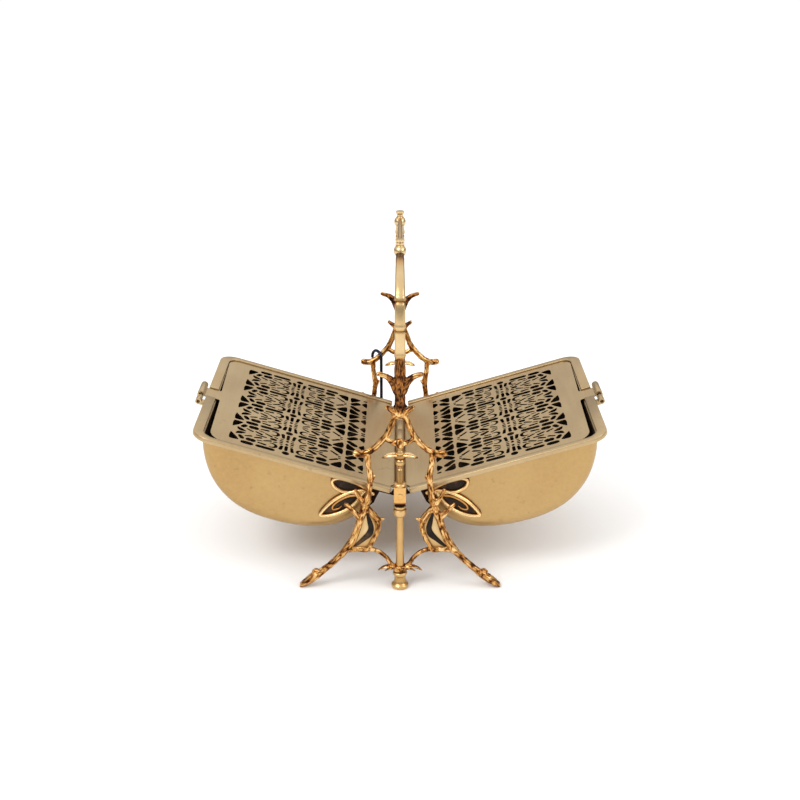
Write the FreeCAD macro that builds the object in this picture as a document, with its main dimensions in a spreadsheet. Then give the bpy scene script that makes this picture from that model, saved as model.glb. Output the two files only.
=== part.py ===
import FreeCAD, Part
import Sketcher
import math
import os

# Folding brass box on a twig stand: two drawn buckets, each with a hinged pierced lid, swing on one pin
# between a front and a back twig frame that a bail handle joins overhead.
# World frame: X across, Y along the hinge pin, Z up, origin on the ground below the middle.
# Bucket frame: x outwards from the pin, y along the pin, z up, square to the rim.

os.makedirs("parts", exist_ok=True)
doc = FreeCAD.newDocument("FoldingStand")
Vec = FreeCAD.Vector
Rot = FreeCAD.Rotation
Place = FreeCAD.Placement

DIMENSIONS = {
    # overall layout
    "frame_offset": 93.85,       # twig frames stand this far from the middle
    "pivot_height": 74.0,        # hinge pin above the ground
    "rim_slope": 16.8,           # open rims rise at this angle, degrees
    "toe_reach": 72.5,           # half of the width over the toes
    # hinge pin and what turns on it
    "pin_radius": 1.5,
    "pin_half_length": 95.0,
    "bore_radius": 1.55,
    "knuckle_radius": 2.6,
    "knuckle_pitch": 18.8,
    "knuckle_gap": 0.4,
    "spacer_radius": 3.0,
    "spacer_inner_end": 83.1,
    # bucket shell
    "shell_half": 79.5,
    "shell_wall": 1.2,
    "shell_fillet": 9.0,
    "shell_top": -5.5,
    # rim
    "rim_half": 85.3,
    "rim_outer": 152.0,
    "rim_inner": 6.0,
    "rim_corner": 14.0,
    "rim_floor_top": -4.5,
    "rim_bead_top": -2.0,
    "mouth_half": 77.5,
    "mouth_outer": 143.6,
    "mouth_inner": 15.0,
    "mouth_corner": 8.0,
    "seat_inner": 4.9,
    "bead_half": 79.8,
    "bead_outer": 144.6,
    "bead_corner": 9.0,
    "notch_half": 9.0,
    # lid
    "lid_half": 79.4,
    "lid_inner": 3.4,
    "lid_outer": 141.0,
    "lid_corner": 9.0,
    "lid_under": -4.2,
    "lid_thick": 1.0,
    "tab_half": 8.2,
    "tab_outer": 154.0,
    "tab_sunk": 20.0,
    "slot_length": 12.0,
    "slot_width": 5.0,
    "slot_pitch_out": 15.5,
    "slot_pitch_along": 8.8,
    "slot_first_out": 32.0,
    "slot_first_along": -70.0,
    "slot_columns": 6,
    "slot_rows": 17,
    "leaf_outer": 9.4,
    "leaf_inner": 1.2,
    "leaf_half": 75.0,
    "roll_radius": 2.75,
    "roll_bore": 1.7,
    "roll_length": 21.0,
    # hinge ears
    "ear_thick": 1.3,
    "ear_eye_radius": 4.2,
    "ear_gap": 0.4,
    "rivet_radius": 1.5,
    # ornaments on the bucket ends
    "ornament_thick": 3.0,
    # columns
    "foot_radius": 6.15,
    "waist_radius": 3.9,
    "foot_cap_radius": 4.6,
    "rod_low_radius": 3.0,
    "rod_top_radius": 2.5,
    "collar_radius": 4.7,
    "column_height": 66.0,
    "block_width": 8.6,
    "block_depth": 8.4,
    "block_foot": 66.0,
    "block_height": 15.0,
    "finial_top": 111.4,
    "finial_tube_radius": 2.3,
    "knob_radius": 3.5,
    "leaf_ring_radius": 3.5,
    "leaf_neck_radius": 2.0,
    # twigs
    "twig_radius": 2.3,
    "web_thick": 1.6,
    "brace_radius": 1.7,
    "brace_collar_radius": 4.9,
    # handle
    "strap_width": 7.2,
    "strap_thick": 5.2,
    "handle_knob_radius": 4.1,
    "handle_knob_offset": 42.8,
    "handle_knob_height": 239.3,
    "handle_top": 245.0,
    "grip_radius": 2.4,
    # wire hook
    "wire_radius": 1.25,
    "wire_bend_radius": 3.9,
    "wire_rise": 1.8,
    "wire_tail": 4.0,
    "wire_drop": 39.0,
}

sheet = doc.addObject("Spreadsheet::Sheet", "Dims")
for row, (alias, value) in enumerate(DIMENSIONS.items(), 1):
    sheet.set("A%d" % row, alias)
    sheet.set("B%d" % row, str(value))
    sheet.setAlias("B%d" % row, alias)
doc.recompute()

nodes = []


def dim(alias):
    return float(sheet.get(alias))


def bind(obj, prop, expression):
    obj.setExpression(prop, expression)


def keep(obj, name, placement=None):
    """Name a finished sub-part and put it where it belongs."""
    obj.Label = name
    if placement is not None:
        obj.Placement = placement
    nodes.append(obj)
    return obj


# ---------------------------------------------------------------- sketches and bodies

def new_body(name, placement):
    body = doc.addObject("PartDesign::Body", name)
    keep(body, name, placement)
    return body


def new_sketch(body, name, role, height=None):
    """A sketch on one of the body's own planes, raised by a spreadsheet expression."""
    sketch = body.newObject("Sketcher::SketchObject", name)
    plane = [f for f in body.Origin.OriginFeatures if f.Role == role][0]
    sketch.AttachmentSupport = [(plane, "")]
    sketch.MapMode = "FlatFace"
    if height is not None:
        bind(sketch, "AttachmentOffset.Base.z", height)
    return sketch


def number(value):
    return dim(value) if isinstance(value, str) else float(value)


def drive_point(sketch, index, end, point):
    """Tie one sketch point to the spreadsheet cells that name its coordinates."""
    for axis, kind in ((0, "DistanceX"), (1, "DistanceY")):
        if isinstance(point[axis], str):
            value = number(point[axis])
            first, second = (-1, 1), (index, end)
            expression = "Dims." + point[axis]
            if value < 0:
                first, second = second, first
                expression = "-" + expression
            entry = Sketcher.Constraint(kind, first[0], first[1], second[0], second[1], abs(value))
            place = sketch.addConstraint(entry)
            bind(sketch, "Constraints[%d]" % place, expression)


def draw_polygon(sketch, points):
    """Closed outline of straight sides; points may name spreadsheet cells."""
    count = len(points)
    first = len(sketch.Geometry)
    flat = [Vec(number(p[0]), number(p[1]), 0) for p in points]
    for i in range(count):
        sketch.addGeometry(Part.LineSegment(flat[i], flat[(i + 1) % count]))
    for i in range(count):
        nxt = first + (i + 1) % count
        sketch.addConstraint(Sketcher.Constraint("Coincident", first + i, 2, nxt, 1))
    for i in range(count):
        drive_point(sketch, first + i, 1, points[i])


def draw_circle(sketch, centre, radius):
    circle = Part.Circle(Vec(centre[0], centre[1], 0), Vec(0, 0, 1), dim(radius))
    index = sketch.addGeometry(circle)
    place = sketch.addConstraint(Sketcher.Constraint("Radius", index, dim(radius)))
    bind(sketch, "Constraints[%d]" % place, "Dims." + radius)
    return index


def draw_rounded(sketch, inner, outer, half, corner):
    """Rectangle from inner to outer, rounded by corner at its two outer corners."""
    x0, x1, y1, rad = number(inner), number(outer), number(half), number(corner)
    lines = [
        Part.LineSegment(Vec(x0, -y1, 0), Vec(x1 - rad, -y1, 0)),
        Part.ArcOfCircle(Part.Circle(Vec(x1 - rad, -y1 + rad, 0), Vec(0, 0, 1), rad), -math.pi / 2, 0),
        Part.LineSegment(Vec(x1, -y1 + rad, 0), Vec(x1, y1 - rad, 0)),
        Part.ArcOfCircle(Part.Circle(Vec(x1 - rad, y1 - rad, 0), Vec(0, 0, 1), rad), 0, math.pi / 2),
        Part.LineSegment(Vec(x1 - rad, y1, 0), Vec(x0, y1, 0)),
        Part.LineSegment(Vec(x0, y1, 0), Vec(x0, -y1, 0)),
    ]
    first = len(sketch.Geometry)
    for line in lines:
        sketch.addGeometry(line)
    joints = [(0, 2, 1, 1), (1, 2, 2, 1), (2, 2, 3, 1), (3, 2, 4, 1)]
    for a, enda, b, endb in joints:
        sketch.addConstraint(Sketcher.Constraint("Tangent", first + a, enda, first + b, endb))
    for a, b in ((4, 5), (5, 0)):
        sketch.addConstraint(Sketcher.Constraint("Coincident", first + a, 2, first + b, 1))
    sketch.addConstraint(Sketcher.Constraint("Horizontal", first))
    sketch.addConstraint(Sketcher.Constraint("Horizontal", first + 4))
    sketch.addConstraint(Sketcher.Constraint("Vertical", first + 5))
    sketch.addConstraint(Sketcher.Constraint("Equal", first + 1, first + 3))
    place = sketch.addConstraint(Sketcher.Constraint("Radius", first + 1, rad))
    bind(sketch, "Constraints[%d]" % place, "Dims." + corner)
    place = sketch.addConstraint(Sketcher.Constraint("DistanceX", -1, 1, first + 5, 1, x0))
    bind(sketch, "Constraints[%d]" % place, "Dims." + inner)
    place = sketch.addConstraint(Sketcher.Constraint("DistanceX", -1, 1, first + 2, 1, x1))
    bind(sketch, "Constraints[%d]" % place, "Dims." + outer)
    place = sketch.addConstraint(Sketcher.Constraint("DistanceY", -1, 1, first + 5, 1, y1))
    bind(sketch, "Constraints[%d]" % place, "Dims." + half)
    place = sketch.addConstraint(Sketcher.Constraint("DistanceY", first + 0, 1, -1, 1, y1))
    bind(sketch, "Constraints[%d]" % place, "Dims." + half)


def draw_smooth_outline(sketch, points):
    """Smooth outline through the points, closed by one straight side."""
    curve = Part.BSplineCurve()
    flat = [Vec(x, y, 0) for x, y in points]
    curve.interpolate(flat)
    sketch.addGeometry(curve)
    sketch.addGeometry(Part.LineSegment(flat[-1], flat[0]))
    sketch.addConstraint(Sketcher.Constraint("Coincident", 0, 2, 1, 1))
    sketch.addConstraint(Sketcher.Constraint("Coincident", 1, 2, 0, 1))


def pad(body, sketch, length, name="Pad", midplane=False, reverse=False):
    feature = body.newObject("PartDesign::Pad", name)
    feature.Profile = sketch
    feature.Midplane = midplane
    feature.Reversed = reverse
    bind(feature, "Length", length)
    sketch.Visibility = False
    return feature


def pocket_through(body, sketch, name="Pocket"):
    """Cut the sketch through the whole body, both ways."""
    feature = body.newObject("PartDesign::Pocket", name)
    feature.Profile = sketch
    feature.Type = 1
    feature.Midplane = True
    return feature


def revolve(body, sketch):
    feature = body.newObject("PartDesign::Revolution", "Revolution")
    feature.Profile = sketch
    feature.ReferenceAxis = (sketch, ["V_Axis"])
    feature.Angle = 360
    return feature


def turned_piece(name, outline, placement):
    """A lathe-turned piece: outline of (radius, height) points, closed along its axis."""
    body = new_body(name, placement)
    sketch = new_sketch(body, "TurningProfile", "XZ_Plane")
    draw_polygon(sketch, outline)
    revolve(body, sketch)
    return in_frame(body, name.split("_")[0])


# ---------------------------------------------------------------- twigs

def in_frame(obj, end):
    """Move a piece from the middle plane to the plane of the front or back frame."""
    sign = "-" if end == "front" else ""
    bind(obj, "Placement.Base.y", sign + "Dims.frame_offset")
    return obj


def twig(end, points, start=0, stop=None):
    """Round loft along points of (across, height, thickness factor) in the plane of a frame.

    With start and stop only that stretch is made, so two stretches of one path meet face to face.
    """
    sections = []
    last = len(points) - 1
    for i in range(start, (last if stop is None else stop) + 1):
        x, z, factor = points[i]
        before = points[max(i - 1, 0)]
        after = points[min(i + 1, last)]
        lean = math.degrees(math.atan2(after[0] - before[0], after[1] - before[1]))
        ring = doc.addObject("Part::Circle", "TwigSection")
        bind(ring, "Radius", "Dims.twig_radius * %s" % factor)
        ring.Placement = Place(Vec(x, 0, z), Rot(Vec(0, 1, 0), lean))
        sections.append(in_frame(ring, end))
    loft = doc.addObject("Part::Loft", "Twig")
    loft.Sections = sections
    loft.Solid = True
    return loft


def fuse(shapes):
    if len(shapes) == 1:
        return shapes[0]
    joined = doc.addObject("Part::MultiFuse", "Joined")
    joined.Shapes = shapes
    return joined


def cut(base, tools):
    """Take every tool off the base."""
    result = base
    for tool in tools:
        step = doc.addObject("Part::Cut", "Trimmed")
        step.Base = result
        step.Tool = tool
        result = step
    return result


def mirrored(points, side):
    return [(side * x, z, factor) for x, z, factor in points]


ARCH_TWIG = [(1.8, 138.5, 1.15), (5.0, 130.0, 0.95), (8.6, 121.0, 1.0), (13.2, 114.4, 1.0),
             (19.6, 108.2, 1.0), (25.4, 105.4, 1.15), (31.0, 105.6, 1.4)]
CROSS_TWIG = [(-9.8, 116.8, 0.8), (-5.2, 114.0, 0.8), (0.0, 113.6, 1.15), (5.2, 114.0, 0.8),
              (9.8, 116.8, 0.8)]
TRUNK = [(0.0, 135.5, 1.45), (0.0, 142.0, 1.8), (0.0, 152.0, 1.7), (0.0, 164.0, 1.9), (0.0, 175.0, 1.6)]
SMALL_THORN = [(1.6, 134.0, 1.1), (5.4, 137.6, 0.85), (9.2, 140.4, 0.6)]
FLARED_THORN = [(1.5, 154.0, 1.3), (5.6, 159.4, 1.1), (10.0, 163.2, 0.9), (15.0, 165.2, 0.75)]
# the post runs on into the leg: one path, parted at POST_END
POST_AND_LEG = [(22.6, 105.4, 0.95), (22.0, 97.0, 0.95), (20.8, 88.0, 1.05), (21.3, 80.0, 0.95),
                (22.6, 71.5, 1.1), (24.9, 63.5, 1.3), (28.2, 54.0, 1.25), (31.3, 44.0, 1.25),
                (35.8, 34.5, 1.35), (41.6, 27.0, 1.25), (49.0, 19.4, 1.2), (56.4, 12.7, 1.2)]
POST_END = 4
POST_THORN = [(21.2, 84.0, 0.8), (19.6, 86.2, 0.65), (18.3, 87.8, 0.5)]
HOOF = [(55.0, 14.0, 1.15), (60.0, 9.6, 1.5), (65.5, 5.6, 1.6), (69.6, 2.6, 1.15), (72.0, 0.9, 0.7)]
UPPER_STUB = [(25.0, 66.0, 0.8), (28.6, 71.6, 0.75), (31.2, 77.2, 0.6)]
LOWER_STUB = [(28.6, 55.0, 0.9), (33.2, 61.2, 0.8), (38.2, 66.2, 0.65)]
BRANCH = [(23.4, 64.6, 0.8), (20.4, 60.6, 0.95), (16.2, 54.6, 1.0), (15.2, 49.4, 0.85), (17.2, 42.0, 0.85),
          (20.4, 35.4, 0.85), (23.6, 30.2, 0.8)]
BRANCH_THORN = [(17.0, 53.6, 0.85), (13.8, 54.2, 0.6), (11.2, 54.8, 0.35)]
WEB = [(22.8, 60.6), (18.4, 54.6), (16.8, 49.4), (18.6, 42.4), (21.9, 35.6), (23.6, 33.4), (30.6, 33.2),
       (34.0, 35.2), (29.9, 44.4), (26.6, 54.4)]
BRACE_TWIG = [(38.6, 28.4, 0.8), (32.0, 30.4, 0.8), (24.0, 30.9, 0.75), (16.0, 29.2, 0.72), (10.0, 24.2, 0.72),
              (6.6, 19.0, 0.75), (3.6, 16.2, 0.8)]
CURL_UPPER = [(4.0, 16.4, 0.6), (8.4, 16.9, 0.5), (12.4, 15.8, 0.4), (15.4, 13.8, 0.25)]
LEAF = [(2.4, 103.3, 0.6), (6.4, 103.6, 0.7), (9.6, 103.4, 0.5), (13.0, 102.8, 0.15)]
CURL_LOWER = [(4.0, 15.4, 0.5), (7.6, 15.0, 0.4), (10.4, 13.4, 0.25)]


def build_arch(end):
    """The gable: trunk, two bowed twigs, the cross twig and two pairs of thorns, cast in one."""
    twigs = [twig(end, TRUNK), twig(end, CROSS_TWIG)]
    for side in (-1, 1):
        for path in (ARCH_TWIG, SMALL_THORN, FLARED_THORN):
            twigs.append(twig(end, mirrored(path, side)))
    return keep(fuse(twigs), end + "_arch")


def cutting_box(end, low, size):
    """A box used only to trim, given by its low corner and its size about the frame's plane."""
    box = doc.addObject("Part::Box", "TrimBox")
    box.Length, box.Width, box.Height = size
    box.Placement = Place(Vec(low[0], 0, low[2]), Rot())
    sign = "-" if end == "front" else ""
    bind(box, "Placement.Base.y", "%sDims.frame_offset - %s" % (sign, size[1] / 2))
    return box


def build_frame_side(end, hand, side):
    """Post, leg with its hoof, inner branch and web of one side of a twig frame."""
    below_ground = cutting_box(end, (-100, 0, -20), (200, 40, 20))
    past_toe = cutting_box(end, (0, 0, -20), (20, 40, 40))
    bind(past_toe, "Placement.Base.x", "Dims.toe_reach" if side > 0 else "-Dims.toe_reach - 20")
    path = mirrored(POST_AND_LEG, side)
    leg_parts = [twig(end, path, start=POST_END)]
    leg_parts += [twig(end, mirrored(p, side)) for p in (HOOF, UPPER_STUB, LOWER_STUB)]
    leg = cut(fuse(leg_parts), [below_ground, past_toe])
    post = fuse([twig(end, path, stop=POST_END), twig(end, mirrored(POST_THORN, side))])
    branch = fuse([twig(end, mirrored(p, side)) for p in (BRANCH, BRANCH_THORN)])
    web = doc.addObject("Part::Feature", "WebPlate")
    middle = dim("frame_offset") * (-1 if end == "front" else 1)
    outline = [Vec(side * x, middle - dim("web_thick") / 2, z) for x, z in WEB]
    face = Part.Face(Part.makePolygon(outline + outline[:1]))
    web.Shape = face.extrude(Vec(0, dim("web_thick"), 0))
    for piece, name in ((leg, "leg"), (post, "post"), (branch, "branch"), (web, "web")):
        keep(piece, "%s_%s_%s" % (end, hand, name))


def upright_cylinder(end, radius, low, height):
    """A cylinder on the column's axis, used for a collar or to bore one."""
    rod = doc.addObject("Part::Cylinder", "UprightCylinder")
    bind(rod, "Radius", radius)
    rod.Height = height
    rod.Placement = Place(Vec(0, 0, low), Rot())
    return in_frame(rod, end)


def build_brace(end):
    """S-shaped braces from both legs to a collar that sits round the column, with curled leaves."""
    parts = [upright_cylinder(end, "Dims.brace_collar_radius", 13.6, 4.6)]
    for side in (-1, 1):
        for path in (BRACE_TWIG, CURL_UPPER, CURL_LOWER):
            parts.append(twig(end, mirrored(path, side)))
    bore = upright_cylinder(end, "Dims.rod_low_radius", 5, 30)
    return keep(cut(fuse(parts), [bore]), end + "_brace")


def build_column(end, placement):
    """Turned column: spool foot, tapered rod and the collar below the pivot block."""
    outline = [(0, 0), (5.2, 0), ("foot_radius", 1.6), ("foot_radius", 4.2), (4.6, 6.0), ("waist_radius", 8.0),
               ("waist_radius", 10.0), ("foot_cap_radius", 11.6), ("foot_cap_radius", 13.0),
               ("rod_low_radius", 13.6), ("rod_low_radius", 18.2), ("rod_top_radius", 58.4), (4.0, 59.2),
               ("collar_radius", 60.4), ("collar_radius", 64.0), (3.8, 65.2), (3.2, "column_height"),
               (0, "column_height")]
    return turned_piece(end + "_column", outline, placement)


def build_finial(end, placement):
    """Turned piece above the pivot block: ring, tube, thin neck, knob and the neck for the leaves."""
    outline = [(0, 81.0), (4.2, 81.0), (4.4, 82.0), (4.2, 83.2), ("finial_tube_radius", 83.8),
               ("finial_tube_radius", 93.6), (1.5, 94.2), (1.5, 96.4), (2.6, 96.8), ("knob_radius", 98.4),
               ("knob_radius", 99.8), (2.9, 101.4), ("leaf_neck_radius", 101.8), ("leaf_neck_radius", 104.8),
               (2.7, 105.2), (3.1, 106.6), (2.2, 108.2), (1.7, 109.6), (1.7, "finial_top"), (0, "finial_top")]
    return turned_piece(end + "_finial", outline, placement)


def build_leaves(end):
    """A ring on the finial's neck that carries one pointed leaf each side."""
    parts = [upright_cylinder(end, "Dims.leaf_ring_radius", 101.9, 2.8)]
    for side in (-1, 1):
        parts.append(twig(end, mirrored(LEAF, side)))
    neck = upright_cylinder(end, "Dims.leaf_neck_radius", 98, 12)
    return keep(cut(fuse(parts), [neck]), end + "_leaves")


def build_block(end, placement):
    """Square block with a blind bore that holds one end of the hinge pin."""
    sign = -1 if placement.Base.y < 0 else 1
    body = new_body(end + "_pivot_block", placement)
    in_frame(body, end)
    sketch = new_sketch(body, "BlockOutline", "XY_Plane", "Dims.block_foot")
    half_w, half_d = dim("block_width") / 2, dim("block_depth") / 2
    draw_polygon(sketch, [(-half_w, -half_d), (half_w, -half_d), (half_w, half_d), (-half_w, half_d)])
    pad(body, sketch, "Dims.block_height", "Block")
    bore = new_sketch(body, "PinBore", "XZ_Plane")
    index = draw_circle(bore, (0, dim("pivot_height")), "pin_radius")
    place = bore.addConstraint(Sketcher.Constraint("DistanceY", -1, 1, index, 3, dim("pivot_height")))
    bind(bore, "Constraints[%d]" % place, "Dims.pivot_height")
    place = bore.addConstraint(Sketcher.Constraint("PointOnObject", index, 3, -2))
    bind(bore, "AttachmentOffset.Base.z", "%d * (Dims.pin_half_length - Dims.frame_offset)" % -sign)
    feature = body.newObject("PartDesign::Pocket", "PinHole")
    feature.Profile = bore
    feature.Length = 20
    feature.Reversed = sign > 0
    doc.recompute()
    full = dim("block_width") * dim("block_depth") * dim("block_height")
    depth = dim("block_depth") / 2 + dim("pin_half_length") - dim("frame_offset")
    expected = full - math.pi * dim("pin_radius") ** 2 * depth
    if abs(body.Shape.Volume - expected) > 1.0:
        raise RuntimeError("pin bore of %s is wrong: %.1f against %.1f" % (end, body.Shape.Volume, expected))
    return body


def build_frames():
    for end, sign in (("front", -1), ("back", 1)):
        placement = Place(Vec(0, sign * dim("frame_offset"), 0), Rot())
        build_arch(end)
        for hand, side in (("left", -1), ("right", 1)):
            build_frame_side(end, hand, side)
        build_brace(end)
        build_column(end, placement)
        build_block(end, placement)
        build_finial(end, placement)
        build_leaves(end)


# ---------------------------------------------------------------- hinge pin, handle, hook

def cylinder_along_y(label, radius, start, length):
    rod = doc.addObject("Part::Cylinder", label)
    bind(rod, "Radius", radius)
    bind(rod, "Height", length)
    rod.Placement = Place(Vec(0, 0, 0), Rot(Vec(1, 0, 0), -90))
    bind(rod, "Placement.Base.y", start)
    bind(rod, "Placement.Base.z", "Dims.pivot_height")
    return rod


def build_pin():
    pin = cylinder_along_y("hinge_pin", "Dims.pin_radius", "-Dims.pin_half_length", "2 * Dims.pin_half_length")
    keep(pin, "hinge_pin")
    span = "Dims.frame_offset - Dims.block_depth / 2 - Dims.spacer_inner_end"
    for end, start in (("front", "Dims.block_depth / 2 - Dims.frame_offset"), ("back", "Dims.spacer_inner_end")):
        tube = cylinder_along_y("Sleeve", "Dims.spacer_radius", start, span)
        bore = cylinder_along_y("SleeveBore", "Dims.pin_radius", start, span)
        keep(cut(tube, [bore]), end + "_spacer")


STRAP_PATH = [(93.85, 175.0), (93.85, 190.0), (93.6, 204.0), (90.6, 216.0), (82.5, 226.0), (68.0, 232.6),
              (54.0, 236.8), (43.5, 239.2)]


def build_strap(end, sign, knob):
    """Flattened bar from the top of a frame, over the closed rims, to a shoulder knob."""
    sections = []
    last = len(STRAP_PATH) - 1
    for i, (y, z) in enumerate(STRAP_PATH):
        before = STRAP_PATH[max(i - 1, 0)]
        after = STRAP_PATH[min(i + 1, last)]
        lean = math.degrees(math.atan2(after[0] - before[0], after[1] - before[1]))
        ring = doc.addObject("Part::Ellipse", "StrapSection")
        bind(ring, "MajorRadius", "Dims.strap_width / 2")
        bind(ring, "MinorRadius", "Dims.strap_thick / 2")
        ring.Placement = Place(Vec(0, sign * y, z), Rot(Vec(1, 0, 0), -sign * lean))
        sections.append(ring)
    loft = doc.addObject("Part::Loft", "Strap")
    loft.Sections = sections
    loft.Solid = True
    return keep(cut(loft, [knob]), "handle_%s_strap" % end)


def build_handle():
    """Bail handle: two straps, two shoulder knobs and the grip between them."""
    knobs = []
    for end, sign in (("front", -1), ("back", 1)):
        ball = doc.addObject("Part::Sphere", "KnobBall")
        bind(ball, "Radius", "Dims.handle_knob_radius")
        bind(ball, "Placement.Base.z", "Dims.handle_knob_height")
        cap = doc.addObject("Part::Cone", "KnobCap")
        cap.Radius1 = 2.4
        cap.Radius2 = 3.1
        bind(cap, "Placement.Base.z", "Dims.handle_knob_height + 3")
        bind(cap, "Height", "Dims.handle_top - Dims.handle_knob_height - 3")
        for piece in (ball, cap):
            bind(piece, "Placement.Base.y", "%d * Dims.handle_knob_offset" % sign)
        knob = fuse([ball, cap])
        keep(knob, "handle_%s_knob" % end)
        knobs.append(knob)
        build_strap(end, sign, knob)
    grip = cylinder_along_y("Grip", "Dims.grip_radius", "-Dims.handle_knob_offset", "2 * Dims.handle_knob_offset")
    bind(grip, "Placement.Base.z", "Dims.handle_knob_height + 0.8")
    keep(cut(grip, knobs), "handle_grip")


# where the hook hangs on the back frame's left bowed twig: (across, height)
HOOK_POINT = (-15.6, 112.0)


def build_hook():
    """Steel wire bent over the back frame's left bowed twig: a short leg behind it and a long shank in front."""
    half = dim("wire_bend_radius")
    rise, tail, drop = dim("wire_rise"), dim("wire_tail"), dim("wire_drop")
    x, z = HOOK_POINT
    top = z + rise
    short_leg = Part.LineSegment(Vec(x, half, z - tail), Vec(x, half, top)).toShape()
    bend = Part.Arc(Vec(x, half, top), Vec(x, 0, top + half), Vec(x, -half, top)).toShape()
    shank = Part.LineSegment(Vec(x, -half, top), Vec(x, -half, z - drop)).toShape()
    path = Part.Wire([short_leg, bend, shank])
    ring = Part.Wire(Part.Circle(Vec(x, half, z - tail), Vec(0, 0, 1), dim("wire_radius")).toShape())
    hook = doc.addObject("Part::Feature", "Hook")
    hook.Shape = path.makePipeShell([ring], True, True)
    length = rise + tail + math.pi * half + rise + drop
    expected = math.pi * dim("wire_radius") ** 2 * length
    if abs(hook.Shape.Volume - expected) > 0.02 * expected:
        raise RuntimeError("the wire hook's volume is off: %.1f against %.1f" % (hook.Shape.Volume, expected))
    keep(hook, "hook", Place(Vec(0, dim("frame_offset"), 0), Rot()))
    bind(hook, "Placement.Base.y", "Dims.frame_offset")


# ---------------------------------------------------------------- buckets and lids

SHELL_PROFILE = [(12.9, -5.5), (13.3, -12.0), (15.8, -21.0), (20.0, -30.5), (26.5, -39.0), (36.5, -46.8),
                 (50.0, -52.4), (65.0, -55.3), (81.0, -56.2), (96.0, -55.0), (109.5, -51.2), (121.0, -44.6),
                 (130.5, -35.8), (137.5, -25.4), (142.2, -14.8), (144.8, -5.5)]
UPPER_LOOP = [(24.6, -8.0), (30.0, -6.4), (38.0, -6.0), (45.0, -6.4), (48.0, -9.6), (45.0, -14.2),
              (38.4, -16.4), (31.0, -14.8), (24.8, -12.4)]
UPPER_LOOP_HOLE = [(30.0, -8.8), (36.5, -8.2), (43.2, -8.4), (44.6, -10.4), (42.0, -12.6), (37.6, -13.6),
                   (32.0, -11.8), (29.6, -10.2)]
LOWER_LOOP = [(25.0, -10.0), (33.0, -14.4), (41.4, -22.6), (46.6, -31.0), (48.8, -38.6), (41.8, -36.8),
              (33.8, -31.6), (27.4, -23.4), (25.0, -14.0)]
LOWER_LOOP_HOLE = [(30.8, -17.4), (36.6, -21.8), (41.8, -28.6), (44.4, -34.4), (39.0, -32.6), (33.6, -27.2),
                   (30.2, -21.0)]
EAR_ARM = [(-3.4, -2.4), (4.2, 0.0), (4.2, -5.9), (20.6, -5.9), (22.6, -9.0), (22.0, -20.0), (17.6, -22.4),
           (9.0, -16.0)]
RIVETS = [(17.2, -10.4), (17.8, -16.6)]
# the lid knuckles of one bucket, counted in knuckle pitches from the middle, other lid's between them
KNUCKLE_STARTS = [-4, -2, 0, 2]


def bucket_placement(hand):
    """The bucket frame at rest: rims rise outwards at the rim slope from the pin."""
    slope = dim("rim_slope")
    pivot = Vec(0, 0, dim("pivot_height"))
    if hand == "right":
        return Place(pivot, Rot(Vec(0, 1, 0), -slope))
    return Place(pivot, Rot(Vec(0, 1, 0), slope).multiply(Rot(Vec(0, 0, 1), 180)))


def rounded_block(name, points, half, radius):
    """A D-shaped block along y whose curved edges at both ends are rounded."""
    body = doc.addObject("PartDesign::Body", name)
    sketch = new_sketch(body, name + "Profile", "XZ_Plane")
    draw_smooth_outline(sketch, points)
    block = pad(body, sketch, "2 * (%s)" % half, name + "Pad", midplane=True)
    doc.recompute()
    ends = []
    for index, edge in enumerate(block.Shape.Edges, 1):
        box = edge.BoundBox
        if box.ZLength > 20 and box.XLength > 100:
            ends.append("Edge%d" % index)
    rounding = body.newObject("PartDesign::Fillet", name + "Rounding")
    rounding.Base = (block, ends)
    bind(rounding, "Radius", radius)
    body.Tip = rounding
    return body


def build_shell(hand, placement):
    """Drawn D-shaped bucket, open towards the rim: an outer block less the cavity."""
    outer = rounded_block("BucketBlock", SHELL_PROFILE, "Dims.shell_half", "Dims.shell_fillet")
    cavity = rounded_block("BucketCavity", inset(SHELL_PROFILE, dim("shell_wall")),
                           "Dims.shell_half - Dims.shell_wall", "Dims.shell_fillet - Dims.shell_wall")
    shell = cut(outer, [cavity])
    return keep(shell, hand + "_shell", placement)


def inset(points, wall):
    """The profile moved inwards by the wall, its two ends kept open above the rim line."""
    moved = []
    last = len(points) - 1
    for i, (x, z) in enumerate(points):
        before = points[max(i - 1, 0)]
        after = points[min(i + 1, last)]
        along = (after[0] - before[0], after[1] - before[1])
        size = math.hypot(along[0], along[1])
        moved.append((x - wall * along[1] / size, z + wall * along[0] / size))
    top = dim("shell_top") + 1.0
    return [(moved[0][0], top)] + moved + [(moved[-1][0], top)]


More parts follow.
